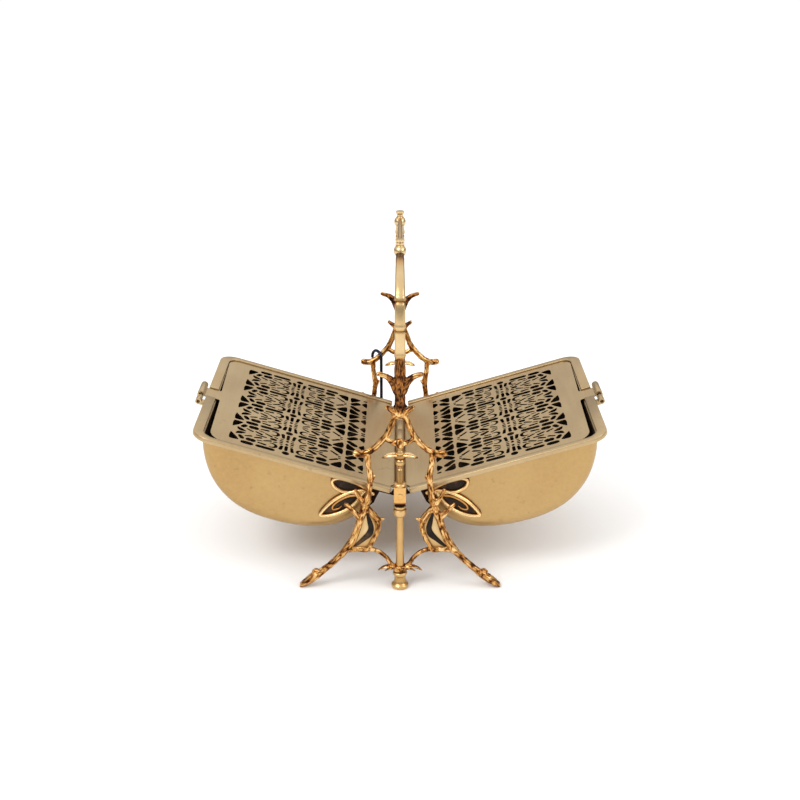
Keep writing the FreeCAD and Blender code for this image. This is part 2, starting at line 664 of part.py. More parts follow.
def build_rim(hand, placement):
    """Flat rim with a raised bead, an inner ledge for the lid and a notch for the lid's tab."""
    body = new_body(hand + "_rim", placement)
    floor = new_sketch(body, "RimOutline", "XY_Plane", "Dims.shell_top")
    draw_rounded(floor, "rim_inner", "rim_outer", "rim_half", "rim_corner")
    pad(body, floor, "Dims.rim_floor_top - Dims.shell_top", "RimFloor")
    bead = new_sketch(body, "BeadOutline", "XY_Plane", "Dims.rim_floor_top")
    draw_rounded(bead, "rim_inner", "rim_outer", "rim_half", "rim_corner")
    pad(body, bead, "Dims.rim_bead_top - Dims.rim_floor_top", "Bead")
    seat = new_sketch(body, "LidSeat", "XY_Plane", "Dims.rim_floor_top")
    draw_rounded(seat, "seat_inner", "bead_outer", "bead_half", "bead_corner")
    cut_up(body, seat, "LidRecess")
    mouth = new_sketch(body, "Mouth", "XY_Plane", "Dims.rim_floor_top")
    draw_rounded(mouth, "mouth_inner", "mouth_outer", "mouth_half", "mouth_corner")
    pocket_through(body, mouth, "BucketMouth")
    notch = new_sketch(body, "TabNotch", "XY_Plane", "Dims.rim_floor_top")
    far = dim("rim_outer") + 2
    draw_polygon(notch, [(dim("bead_outer") - 2, -dim("notch_half")), (far, -dim("notch_half")),
                         (far, dim("notch_half")), (dim("bead_outer") - 2, dim("notch_half"))])
    cut_up(body, notch, "NotchCut")
    throat = new_sketch(body, "PinThroat", "XY_Plane", "Dims.rim_floor_top")
    draw_polygon(throat, [("seat_inner", -dim("bead_half")), (10.2, -dim("bead_half")),
                          (10.2, dim("bead_half")), ("seat_inner", dim("bead_half"))])
    pocket_through(body, throat, "KnuckleThroat")
    doc.recompute()
    return body


def cut_up(body, sketch, name):
    """Cut from the sketch plane upwards through everything."""
    feature = body.newObject("PartDesign::Pocket", name)
    feature.Profile = sketch
    feature.Type = 0
    feature.Length = 30
    feature.Reversed = True
    return feature


def build_ear(hand, placement, name, side, outer):
    """Hinge ear: an eye on the pin and an arm riveted to the bucket's end wall."""
    wall = dim("shell_half")
    thick = dim("ear_thick")
    start = wall + (thick + dim("ear_gap") if outer else 0.0)
    eye = Part.makeCylinder(dim("ear_eye_radius"), thick, Vec(0, start, 0), Vec(0, 1, 0))
    arm_outline = [Vec(x, start, z) for x, z in EAR_ARM]
    arm = Part.Face(Part.makePolygon(arm_outline + arm_outline[:1])).extrude(Vec(0, thick, 0))
    solid = eye.fuse(arm)
    if outer:
        foot = [Vec(x, wall, z) for x, z in EAR_ARM if x > 12]
        foot = [Vec(12.6, wall, -5.9)] + foot + [Vec(12.6, wall, -18.8)]
        step = Part.Face(Part.makePolygon(foot + foot[:1])).extrude(Vec(0, start - wall, 0))
        solid = solid.fuse(step)
    for x, z in RIVETS:
        head = Part.makeSphere(dim("rivet_radius"), Vec(x, start + thick, z))
        solid = solid.fuse(head)
    keep_side = Part.makeBox(60, 40, 60, Vec(-20, wall, -40))
    solid = solid.common(keep_side)
    bore = Part.makeCylinder(dim("bore_radius"), 20, Vec(0, wall - 5, 0), Vec(0, 1, 0))
    solid = solid.cut(bore).removeSplitter()
    if side < 0:
        solid = solid.mirror(Vec(0, 0, 0), Vec(0, 1, 0))
    ear = doc.addObject("Part::Feature", "Ear")
    ear.Shape = solid
    keep(ear, "%s_%s_ear" % (hand, name), placement)


def build_ornament(hand, placement, name, side):
    """Cast twig ornament soldered to the bucket's end: a loop under the rim and a pointed leaf below it."""
    body = new_body("%s_%s_ornament" % (hand, name), placement)
    outline = [("UpperLoop", UPPER_LOOP, UPPER_LOOP_HOLE), ("LowerLoop", LOWER_LOOP, LOWER_LOOP_HOLE)]
    height = "-%d * Dims.shell_half" % side
    for label, outer, hole in outline:
        sketch = new_sketch(body, label, "XZ_Plane", height)
        draw_smooth_outline(sketch, outer)
        pad(body, sketch, "Dims.ornament_thick", label + "Pad", reverse=side > 0)
    for label, outer, hole in outline:
        sketch = new_sketch(body, label + "Opening", "XZ_Plane", height)
        draw_smooth_outline(sketch, hole)
        pocket_through(body, sketch, label + "Cut")
    doc.recompute()
    return body


def build_catch(hand, placement, along):
    """Small rolled catch on the rim's outer edge, beside the lid's tab."""
    centre_x = dim("tab_outer") + 2.1
    tube = Part.makeCylinder(2.3, 9.0, Vec(centre_x, along - 4.5, -3.2), Vec(0, 1, 0))
    strip = Part.makeBox(centre_x - dim("rim_outer"), 9.0, 1.2, Vec(dim("rim_outer"), along - 4.5, -5.5))
    solid = tube.fuse(strip)
    bore = Part.makeCylinder(1.3, 20.0, Vec(centre_x, along - 10, -3.2), Vec(0, 1, 0))
    catch = doc.addObject("Part::Feature", "Catch")
    catch.Shape = solid.cut(bore)
    keep(catch, hand + "_catch", placement)


def build_lid_plate(hand, placement):
    """Flat lid with its tab, pierced by rows of slots."""
    body = new_body(hand + "_lid", placement)
    outline = new_sketch(body, "LidOutline", "XY_Plane", "Dims.lid_under")
    draw_rounded(outline, "lid_inner", "lid_outer", "lid_half", "lid_corner")
    pad(body, outline, "Dims.lid_thick", "LidPlate")
    tab = new_sketch(body, "TabOutline", "XY_Plane", "Dims.lid_under")
    x0, x1, half = dim("lid_outer") - dim("tab_sunk"), dim("tab_outer"), dim("tab_half")
    draw_polygon(tab, [(x0, -half), ("tab_outer", -half), ("tab_outer", half), (x0, half)])
    pad(body, tab, "Dims.lid_thick", "Tab")
    slot = new_sketch(body, "Slot", "XY_Plane", "Dims.lid_under")
    sx, sy = dim("slot_first_out"), dim("slot_first_along")
    long_way, wide = dim("slot_length"), dim("slot_width")
    draw_polygon(slot, [(sx, sy - wide / 2), (sx + long_way, sy - wide / 2), (sx + long_way, sy + wide / 2),
                        (sx, sy + wide / 2)])
    first = pocket_through(body, slot, "SlotCut")
    doc.recompute()
    pattern = body.newObject("PartDesign::MultiTransform", "SlotField")
    pattern.Originals = [first]
    steps = []
    for name, axis, pitch, count in (("Outwards", "H_Axis", "slot_pitch_out", "slot_columns"),
                                     ("Along", "V_Axis", "slot_pitch_along", "slot_rows")):
        line = body.newObject("PartDesign::LinearPattern", name)
        line.Direction = (slot, [axis])
        bind(line, "Length", "Dims.%s * (Dims.%s - 1)" % (pitch, count))
        bind(line, "Occurrences", "Dims." + count)
        steps.append(line)
    pattern.Transformations = steps
    body.Tip = pattern
    doc.recompute()
    return body


def build_knuckles(hand, placement):
    """Hinge leaf under the lid with four knuckles round the pin."""
    inner, outer, half = dim("leaf_inner"), dim("leaf_outer"), dim("leaf_half")
    under = dim("lid_under") - 1.0
    solid = Part.makeBox(outer - inner, 2 * half, 1.0, Vec(inner, -half, under))
    pitch, gap = dim("knuckle_pitch"), dim("knuckle_gap")
    rise_to = dim("lid_inner") - 0.05
    for start in KNUCKLE_STARTS:
        y0 = start * pitch + gap / 2
        tube = Part.makeCylinder(dim("knuckle_radius"), pitch - gap, Vec(0, y0, 0), Vec(0, 1, 0))
        riser = Part.makeBox(rise_to - inner, pitch - gap, -under, Vec(inner, y0, under))
        solid = solid.fuse(tube).fuse(riser)
    bore = Part.makeCylinder(dim("bore_radius"), 2 * half + 20, Vec(0, -half - 10, 0), Vec(0, 1, 0))
    knuckles = doc.addObject("Part::Feature", "Knuckles")
    knuckles.Shape = solid.cut(bore).removeSplitter()
    keep(knuckles, hand + "_lid_hinge", placement)


def build_roll(hand, placement, along):
    """Rolled end of the lid's tab: a short tube along the outer edge."""
    middle = Vec(dim("tab_outer") + dim("roll_radius") - 0.6, along - dim("roll_length") / 2, -3.0)
    outer = Part.makeCylinder(dim("roll_radius"), dim("roll_length"), middle, Vec(0, 1, 0))
    bore = Part.makeCylinder(dim("roll_bore"), dim("roll_length"), middle, Vec(0, 1, 0))
    tab = Part.makeBox(20, 2 * dim("tab_half"), dim("lid_thick"),
                       Vec(dim("tab_outer") - 20, -dim("tab_half"), dim("lid_under")))
    roll = doc.addObject("Part::Feature", "Roll")
    roll.Shape = outer.cut(bore).cut(tab)
    keep(roll, hand + "_lid_roll", placement)


def build_bucket(hand):
    placement = bucket_placement(hand)
    # +1 when the bucket frame's y points to the back of the stand
    back = 1 if hand == "right" else -1
    build_shell(hand, placement)
    build_rim(hand, placement)
    for end, sign in (("front", -back), ("back", back)):
        outer = sign > 0
        build_ear(hand, placement, end, sign, outer)
        build_ornament(hand, placement, end, sign)
    build_catch(hand, placement, -back * 17.5)
    build_lid_plate(hand, placement)
    build_knuckles(hand, placement)
    build_roll(hand, placement, back * 2.0)


build_frames()
build_pin()
build_handle()
build_hook()
for hand in ("left", "right"):
    build_bucket(hand)
doc.recompute()

# ---------------------------------------------------------------- checks and export

problems = []
for obj in doc.Objects:
    if "Invalid" in obj.State or "Error" in obj.State:
        problems.append("%s: %s" % (obj.Label, obj.State))
for node in nodes:
    shape = node.Shape
    if shape.isNull() or not shape.isValid():
        problems.append("%s: shape is null or not valid" % node.Label)
    elif len(shape.Solids) != 1:
        problems.append("%s: %d solids" % (node.Label, len(shape.Solids)))
    elif shape.Volume < 1:
        problems.append("%s: volume %.3f" % (node.Label, shape.Volume))
for line in problems:
    print("PROBLEM", line)
if problems:
    raise RuntimeError("%d problems" % len(problems))
for node in nodes:
    node.Shape.exportStep("parts/%s.step" % node.Label)
    print("%-24s volume %9.1f mm3" % (node.Label, node.Shape.Volume))
print(len(nodes), "nodes written")
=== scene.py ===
# %% [markdown]
# A folding brass box on a rustic stand. Two D-shaped buckets hang on one long pin between
# two cast twig frames, each bucket has a pierced lid on the same pin, and a bail handle
# joins the frames overhead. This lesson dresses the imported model: the frame comes first,
# because every new piece takes its place from it and rides on one of its bodies.

# %% Load the frame
import math
import bmesh
import bpy
import numpy as np
from mathutils import Matrix, Vector, noise


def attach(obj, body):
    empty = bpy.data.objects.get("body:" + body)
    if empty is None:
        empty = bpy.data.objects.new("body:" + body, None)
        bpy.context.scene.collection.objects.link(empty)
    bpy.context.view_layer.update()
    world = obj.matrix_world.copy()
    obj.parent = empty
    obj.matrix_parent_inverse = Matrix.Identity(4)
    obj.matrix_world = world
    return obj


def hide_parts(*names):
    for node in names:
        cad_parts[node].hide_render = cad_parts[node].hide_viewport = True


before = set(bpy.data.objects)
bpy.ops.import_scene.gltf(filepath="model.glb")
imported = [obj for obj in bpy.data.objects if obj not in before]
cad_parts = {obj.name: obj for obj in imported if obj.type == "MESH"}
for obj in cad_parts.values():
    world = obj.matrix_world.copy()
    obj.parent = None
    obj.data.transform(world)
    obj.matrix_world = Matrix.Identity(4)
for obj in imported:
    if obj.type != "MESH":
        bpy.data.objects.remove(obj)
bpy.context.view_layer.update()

# %% [markdown]
# Sizes are written in millimetres, as a maker measures them, and turned into metres once,
# when a mesh is made. The buckets lie at a slope, so their pieces are drawn flat, with
# "out" from the pin, "along" the pin and "up" from the rim, and then tilted into place.

# %% Sizes and the two buckets' own axes
MM = 0.001
PIN_HEIGHT = 74.0
RIM_SLOPE = math.radians(16.8)
FRAME_OFFSET = 93.85
HANDS = {"right": 1, "left": -1}
ENDS = {"front": -1, "back": 1}


def bucket_place(hand):
    """The turn and shift that carry a flat-drawn piece to one bucket, both in millimetres."""
    tilt = Matrix.Rotation(-RIM_SLOPE, 4, "Y")
    side = Matrix.Rotation(math.pi if hand == "left" else 0.0, 4, "Z")
    return Matrix.Translation((0, 0, PIN_HEIGHT)) @ side @ tilt


def frame_place(end):
    """The twig frames are drawn in the plane y = 0; the back one is the front one turned round."""
    side = Matrix.Rotation(math.pi if end == "back" else 0.0, 4, "Z")
    return side @ Matrix.Translation((0, -FRAME_OFFSET, 0))


print("rim slope", round(math.degrees(RIM_SLOPE), 1), "degrees")

# %% [markdown]
# Each finished piece goes through one small function.

# %% Making and seating a piece
FINISHES = {}
collection = bpy.context.scene.collection


def mesh_from(name, points, faces):
    mesh = bpy.data.meshes.new(name)
    mesh.from_pydata([tuple(p) for p in points], [], [tuple(f) for f in faces])
    mesh.update()
    return mesh


def tidy(mesh, weld=0.002):
    """Weld doubles and turn every face outwards."""
    shape = bmesh.new()
    shape.from_mesh(mesh)
    bmesh.ops.remove_doubles(shape, verts=shape.verts, dist=weld)
    bmesh.ops.dissolve_degenerate(shape, edges=shape.edges, dist=weld / 4)
    bmesh.ops.recalc_face_normals(shape, faces=shape.faces)
    shape.to_mesh(mesh)
    shape.free()
    return mesh


def smooth_by_angle(mesh, degrees):
    mesh.shade_smooth()
    mesh.set_sharp_from_angle(angle=math.radians(degrees))


def new_object(name, mesh):
    thing = bpy.data.objects.new(name, mesh)
    collection.objects.link(thing)
    return thing


def baked(thing):
    """The object's mesh with its modifiers worked in; the modifiers are then taken off."""
    bpy.context.view_layer.update()
    graph = bpy.context.evaluated_depsgraph_get()
    mesh = bpy.data.meshes.new_from_object(thing.evaluated_get(graph))
    thing.modifiers.clear()
    return mesh


def soften(mesh, width, segments=2, angle=35):
    """Round the sharp edges of a mesh that is still in millimetres."""
    thing = new_object("bench", mesh)
    bevel = thing.modifiers.new("Bevel", "BEVEL")
    bevel.width, bevel.segments = width, segments
    bevel.limit_method, bevel.angle_limit = "ANGLE", math.radians(angle)
    bevel.use_clamp_overlap = True
    result = baked(thing)
    bpy.data.objects.remove(thing)
    return result


def seat(name, mesh, place, body, slot, stands_for=(), sharp=35, finish=None):
    """Move a mesh in millimetres to its place, give it a finish and let it ride on its body."""
    mesh.transform(Matrix.Scale(MM, 4) @ place)
    smooth_by_angle(mesh, sharp)
    mesh.name = name
    thing = new_object(name, mesh)
    if not mesh.materials:
        mesh.materials.append(FINISHES[finish or slot])
    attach(thing, body)
    if stands_for:
        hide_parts(*stands_for)
    print("  %-24s %7d faces" % (name, len(mesh.polygons)))
    return thing


# %% [markdown]
# Finishes are sums of node sockets. Wire wraps one socket, so that a mask can be written as
# ordinary arithmetic, and Finish builds the tree: its one method makes any node from its
# type, its settings and the values or wires of its sockets.

# %% A small language for finishes
class Wire:
    """One output socket that can be used in sums."""

    def __init__(self, finish, socket):
        self.finish = finish
        self.socket = socket

    def maths(self, operation, first, second=None):
        values = {0: first} if second is None else {0: first, 1: second}
        return self.finish.node("ShaderNodeMath", {"operation": operation}, values)

    def __add__(self, other):
        return self.maths("ADD", self, other)

    def __sub__(self, other):
        return self.maths("SUBTRACT", self, other)

    def __rsub__(self, other):
        return self.maths("SUBTRACT", other, self)

    def __mul__(self, other):
        return self.maths("MULTIPLY", self, other)

    __radd__ = __add__
    __rmul__ = __mul__

    def clamped(self):
        return self.finish.node("ShaderNodeClamp", {}, {"Value": self})


class Finish:
    """A Principled material built from nodes."""

    def __init__(self, name, **constants):
        self.material = bpy.data.materials.new(name)
        self.material.use_nodes = True
        self.tree = self.material.node_tree
        self.shader = self.tree.nodes["Principled BSDF"]
        for socket, value in constants.items():
            self.shader.inputs[socket.replace("_", " ")].default_value = value

    def node(self, kind, settings=None, values=None, output=0):
        made = self.tree.nodes.new(kind)
        for key, value in (settings or {}).items():
            if key == "stops":
                self.set_stops(made.color_ramp, value)
            else:
                setattr(made, key, value)
        for key, value in (values or {}).items():
            self.feed(made.inputs[key], value)
        return Wire(self, made.outputs[output])

    def feed(self, socket, value):
        if isinstance(value, Wire):
            self.tree.links.new(value.socket, socket)
        else:
            socket.default_value = value

    def set_stops(self, ramp, stops):
        while len(ramp.elements) < len(stops):
            ramp.elements.new(1.0)
        for element, (position, colour) in zip(ramp.elements, stops):
            element.position = position
            element.color = colour if len(colour) == 4 else (*colour, 1.0)

    def place(self, stretch=(1, 1, 1)):
        """Object coordinates, stretched: the pattern stays on the piece."""
        where = self.node("ShaderNodeTexCoord", output="Object")
        return self.node("ShaderNodeMapping", {}, {"Vector": where, "Scale": stretch})

    def grain(self, place, scale, detail=4.0, rough=0.55):
        return self.node("ShaderNodeTexNoise", {"noise_dimensions": "3D"},
                         {"Vector": place, "Scale": scale, "Detail": detail, "Roughness": rough}, "Fac")

    def steps(self, wire, low, high):
        """0 below low, 1 above high, smooth between."""
        return self.node("ShaderNodeMapRange", {"interpolation_type": "SMOOTHSTEP"},
                         {"Value": wire, "From Min": low, "From Max": high})

    def blend(self, factor, first, second):
        return self.node("ShaderNodeMix", {"data_type": "RGBA"}, {0: factor, 6: first, 7: second}, 2)

    def finish(self, colour, rough, height, depth, strength):
        """Wire the colour, the roughness and a bump whose depth is in millimetres."""
        self.feed(self.shader.inputs["Base Color"], colour)
        self.feed(self.shader.inputs["Roughness"], rough)
        bump = self.node("ShaderNodeBump", {}, {"Height": height, "Strength": strength,
                                                "Distance": depth * MM})
        self.feed(self.shader.inputs["Normal"], bump)
        return self.material


print("finish language ready")

# %% [markdown]
# The box is all brass, but five brasses: rough antique castings with dark hollows, brighter
# turned work, the rubbed handle, satin-brushed sheet for the buckets and a greyer, drier
# sheet for rims and lids. Brushing is noise drawn out along one direction; tarnish is broad
# soft noise; fingerprints and rubbing change the roughness more than the colour.

# %% Brass finishes
def rgba(red, green, blue):
    return (red, green, blue, 1.0)


def cast_brass():
    """Antique casting: bright where fingers rub, brown to black in the hollows, and also the painted
    highlight and shade that some pieces carry.
    """
    f = Finish("cast_brass", Metallic=1.0)
    relief = f.node("ShaderNodeAttribute", {"attribute_name": "relief"}, output="Fac")
    place = f.place()
    patches = f.grain(place, 70.0, 3.0)
    pits = f.grain(place, 900.0, 3.0, 0.6)
    wear_and_light_tone = (relief * 1.08 + patches * 0.34 + pits * 0.14 - 0.38).clamped()
    colour = f.node("ShaderNodeValToRGB",
                    {"stops": [(0.0, (0.018, 0.007, 0.004)), (0.2, (0.10, 0.036, 0.012)),
                               (0.42, (0.38, 0.150, 0.038)), (0.66, (0.64, 0.340, 0.100)),
                               (1.0, (0.90, 0.650, 0.32))]}, {"Fac": wear_and_light_tone})
    rough = 0.42 - wear_and_light_tone * 0.2 + pits * 0.08
    return f.finish(colour, rough, pits + patches * 0.6, 0.12, 0.55)


def sheet_brass(name, colours, stretch, brush_depth, dull):
    """Brushed sheet with soft tarnish; stretch draws the brushing out along its short axis."""
    f = Finish(name, Metallic=1.0)
    brush = f.grain(f.place(stretch), 60.0, 5.0, 0.7)
    cloud = f.grain(f.place(), 11.0, 3.0, 0.5)
    spots = f.steps(f.grain(f.place(), 170.0, 2.0, 0.5), 0.64, 0.80)
    tone = (cloud * 0.75 + brush * 0.35 - 0.05).clamped()
    colour = f.node("ShaderNodeValToRGB", {"stops": list(zip((0.22, 0.5, 0.8), colours))}, {"Fac": tone})
    colour = f.blend(spots * 0.22, colour, rgba(*[c * 0.45 for c in colours[0]]))
    rough = dull + brush * 0.14 + cloud * 0.10 + spots * 0.12 - 0.12
    return f.finish(colour, rough, brush, brush_depth, 0.45)


def turned_brass():
    """Lathe-turned rod: fine rings round the rod and a little brown in the low places."""
    f = Finish("turned_brass", Metallic=1.0)
    relief = f.node("ShaderNodeAttribute", {"attribute_name": "relief"}, output="Fac")
    rings = f.grain(f.place((0.05, 0.05, 1.0)), 1400.0, 2.0)
    cloud = f.grain(f.place(), 60.0, 4.0)
    colour = f.node("ShaderNodeValToRGB",
                    {"stops": [(0.02, (0.02, 0.009, 0.005)), (0.3, (0.30, 0.150, 0.045)),
                               (0.52, (0.54, 0.325, 0.120)), (0.85, (0.70, 0.475, 0.22))]},
                    {"Fac": (cloud * 0.5 + rings * 0.12 + relief * 0.72 - 0.33).clamped()})
    return f.finish(colour, 0.2 + cloud * 0.2, rings, 0.03, 0.35)


def handle_brass():
    """The handle is rubbed pale, with brown left where the castings are ribbed, and the painted shade and
    highlight that its pieces carry.
    """
    f = Finish("handle_brass", Metallic=1.0)
    relief = f.node("ShaderNodeAttribute", {"attribute_name": "relief"}, output="Fac")
    cloud = f.grain(f.place(), 70.0, 4.0)
    pits = f.grain(f.place(), 700.0, 3.0)
    wear_and_light_tone = (relief * 0.9 + cloud * 0.5 + pits * 0.12 - 0.27).clamped()
    colour = f.node("ShaderNodeValToRGB",
                    {"stops": [(0.05, (0.06, 0.022, 0.010)), (0.35, (0.42, 0.22, 0.07)),
                               (0.66, (0.54, 0.355, 0.150)), (1.0, (0.68, 0.50, 0.27))]}, {"Fac": wear_and_light_tone})
    return f.finish(colour, 0.42 - wear_and_light_tone * 0.14, pits, 0.08, 0.4)


def hook_steel():
    """Polished blued steel wire."""
    f = Finish("hook_steel", Metallic=1.0)
    cloud = f.grain(f.place(), 120.0, 3.0)
    colour = f.node("ShaderNodeValToRGB", {"stops": [(0.3, (0.010, 0.011, 0.022)),
                                                     (0.7, (0.045, 0.045, 0.075))]}, {"Fac": cloud})
    return f.finish(colour, 0.16 + cloud * 0.18, cloud, 0.05, 0.2)


def dark_inside():
    """Near-black brass for painted shade: inside the buckets, and in the scroll and web hollows as shade and
    dark reflection; the walls of the pierced holes get it too.
    """
    f = Finish("dark_inside", Metallic=0.7)
    cloud = f.grain(f.place(), 80.0, 4.0)
    colour = f.node("ShaderNodeValToRGB", {"stops": [(0.3, (0.008, 0.005, 0.004)),
                                                     (0.55, (0.030, 0.018, 0.011)),
                                                     (0.72, (0.17, 0.085, 0.034))]}, {"Fac": cloud})
    return f.finish(colour, 0.4 + cloud * 0.25, cloud, 0.1, 0.4)


FINISHES["cast_brass"] = cast_brass()
FINISHES["turned_brass"] = turned_brass()
FINISHES["handle_brass"] = handle_brass()
FINISHES["bucket_brass"] = sheet_brass(
    "bucket_brass", [(0.34, 0.200, 0.078), (0.455, 0.292, 0.120), (0.54, 0.370, 0.168)],
    (6.0, 0.35, 6.0), 0.05, 0.34)
FINISHES["lid_brass"] = sheet_brass(
    "lid_brass", [(0.37, 0.250, 0.122), (0.49, 0.355, 0.190), (0.58, 0.440, 0.255)],
    (6.0, 0.4, 6.0), 0.04, 0.38)
FINISHES["hook_steel"] = hook_steel()
FINISHES["dark_inside"] = dark_inside()
print("finishes:", ", ".join(FINISHES))

# %% [markdown]
# Twigs are round rods that swell at knots. A rod is drawn as a few stations of place and
# thickness, a smooth curve is run through them, and rings are set square to it. Both ends
# are closed with a small dome, so the rods can be run into each other and cast as one.

# %% Rods along smooth paths
TWIG_RADIUS = 2.3


def smooth_stations(stations, spacing=1.0):
    """A smooth curve through rows of numbers, with even steps (Catmull-Rom)."""
    rows = np.array(stations, dtype=float)
    ends = np.vstack([2 * rows[0] - rows[1], rows, 2 * rows[-1] - rows[-2]])
    result = []
    for i in range(1, len(ends) - 2):
        before, here, there, after = ends[i - 1:i + 3]
        count = max(2, int(np.linalg.norm((there - here)[:3]) / spacing))
        for t in np.arange(count) / count:
            result.append(0.5 * (2 * here + (there - before) * t
                                 + (2 * before - 5 * here + 4 * there - after) * t ** 2
                                 + (3 * here - before - 3 * there + after) * t ** 3))
    result.append(rows[-1])
    return np.array(result)


def rod(line, sides=14, dome=3, flat=(1.0, 1.0)):
    """A closed rod round rows of (x, y, z, radius); flat squashes it across and along y."""
    centres, radii = line[:, :3], line[:, 3]
    tangents = np.gradient(centres, axis=0)
    tangents /= np.linalg.norm(tangents, axis=1)[:, None]
    rings = [(centres[0] - tangents[0] * radii[0] * math.sin(a), tangents[0], radii[0] * math.cos(a))
             for a in np.linspace(math.pi / 2 * 0.92, math.pi / 2 / dome, dome)]
    rings += list(zip(centres, tangents, radii))
    rings += [(centres[-1] + tangents[-1] * radii[-1] * math.sin(a), tangents[-1], radii[-1] * math.cos(a))
              for a in np.linspace(math.pi / 2 / dome, math.pi / 2 * 0.92, dome)]
    points, faces = [], []
    along_y = np.array([0.0, 1.0, 0.0])
    for centre, tangent, radius in rings:
        depth = along_y - tangent * tangent.dot(along_y)
        if np.linalg.norm(depth) < 0.2:
            depth = np.array([1.0, 0.0, 0.0]) - tangent * tangent[0]
        depth /= np.linalg.norm(depth)
        across = np.cross(tangent, depth)
        for k in range(sides):
            turn = 2 * math.pi * k / sides
            points.append(centre + radius * (across * math.cos(turn) * flat[0]
                                             + depth * math.sin(turn) * flat[1]))
    for i in range(len(rings) - 1):
        for k in range(sides):
            a, b = i * sides + k, i * sides + (k + 1) % sides
            faces.append((a, b, b + sides, a + sides))
    faces.append(tuple(range(sides - 1, -1, -1)))
    last = (len(rings) - 1) * sides
    faces.append(tuple(range(last, last + sides)))
    return points, faces


def joined(parts):
    """Put several lists of points and faces into one."""
    points, faces = [], []
    for some_points, some_faces in parts:
        shift = len(points)
        points.extend(some_points)
        faces.extend([tuple(i + shift for i in face) for face in some_faces])
    return points, faces


def twig_line(path, side=1, y=0.0):
    """A smooth rod line in the plane y from (across, up, thickness) rows."""
    return smooth_stations([(side * x, y, z, TWIG_RADIUS * factor) for x, z, factor in path])


print("a rod has", len(rod(twig_line([(0, 0, 1), (0, 10, 1)]))[1]), "faces")

# %% [markdown]
# The castings are what makes this stand: rods run into each other with soft, soldered-looking
# joints and a bark of long grooves. The rods are first remeshed into one skin, which rounds
# every joint as wax does, and then each point is pushed in or out by noise that is drawn out
# along the nearest rod. The same push is kept as "relief", and the finish darkens the grooves as tarnish.

# %% Casting rods into bark
def remeshed(points, faces, voxel, relax=3):
    """One skin round everything that overlaps, a little relaxed."""
    thing = new_object("wax", mesh_from("wax", points, faces))
    skin = thing.modifiers.new("Skin", "REMESH")
    skin.mode, skin.voxel_size, skin.adaptivity = "VOXEL", voxel, 0.0
    soft = thing.modifiers.new("Soft", "SMOOTH")
    soft.factor, soft.iterations = 0.5, relax
    mesh = baked(thing)
    bpy.data.objects.remove(thing)
    return mesh


def set_wear_and_painted_light(mesh, values):
    """Keep a number on every point for the finishes: 0 is dark, 1 is bright; it holds tarnish and wear, and
    on some pieces painted shade and highlight.
    """
    layer = mesh.attributes.new("relief", "FLOAT", "POINT")
    layer.data.foreach_set("value", np.asarray(values, dtype=np.float32))


def bark(mesh, lines, groove=0.34, lump=0.22, seed=0.0):
    """Push points in and out along the rods they belong to, and remember by how much."""
    count = len(mesh.vertices)
    where = np.empty(count * 3)
    mesh.vertices.foreach_get("co", where)
    where = where.reshape(-1, 3)
    normals = np.empty(count * 3)
    mesh.vertex_normals.foreach_get("vector", normals)
    normals = normals.reshape(-1, 3)
    centres = np.vstack([line[:, :3] for line in lines])
    tangents = np.vstack([np.gradient(line[:, :3], axis=0) for line in lines])
    tangents /= np.linalg.norm(tangents, axis=1)[:, None] + 1e-9
    distance = np.concatenate([np.arange(len(line)) + 40.0 * i for i, line in enumerate(lines)])
    nearest = np.empty(count, dtype=int)
    for start in range(0, count, 4000):
        gap = where[start:start + 4000, None, :] - centres[None]
        nearest[start:start + 4000] = np.argmin((gap ** 2).sum(axis=2), axis=1)
    offset = where - centres[nearest]
    along = (offset * tangents[nearest]).sum(axis=1) + distance[nearest]
    radial = offset - tangents[nearest] * (offset * tangents[nearest]).sum(axis=1)[:, None]
    push = np.empty(count)
    for i in range(count):
        spot = Vector((radial[i][0] * 0.75, radial[i][1] * 0.75 + seed, along[i] * 0.16))
        ridge = abs(noise.noise(spot * 1.15))
        knot = noise.noise(Vector(where[i] * 0.23) + Vector((seed, 7, 3)))
        fine = noise.noise(Vector(where[i] * 1.3) + Vector((seed, 1, 9)))
        push[i] = groove * (min(ridge * 3.2, 1.0) - 0.75) + lump * knot + 0.10 * fine
    moved = where + normals * push[:, None]
    mesh.vertices.foreach_set("co", moved.ravel())
    mesh.update()
    shape = (push - 0.3 * lump) / (groove + lump)
    set_wear_and_painted_light(mesh, np.clip(0.80 + shape * 0.95, 0, 1))
    return mesh


def darkened(mesh, share, reach, low, high):
    """Tarnish left in one stretch of a casting: across by less than reach, between two heights."""
    layer = mesh.attributes["relief"].data
    for vertex in mesh.vertices:
        x, z = vertex.co.x, vertex.co.z
        if abs(x) < reach and low < z < high:
            fade = min(1.0, (z - low) / 4, (high - z) / 4)
            layer[vertex.index].value *= 1 - (1 - share) * fade


print("bark tools ready")

# %% [markdown]
# One frame is a gable of two bowed twigs over a cross twig, a post at each side that runs on
# into a splayed leg with a cloven hoof, and an inner branch that comes back to the leg. The
# stations below are the turning points of each rod: across, up and thickness.

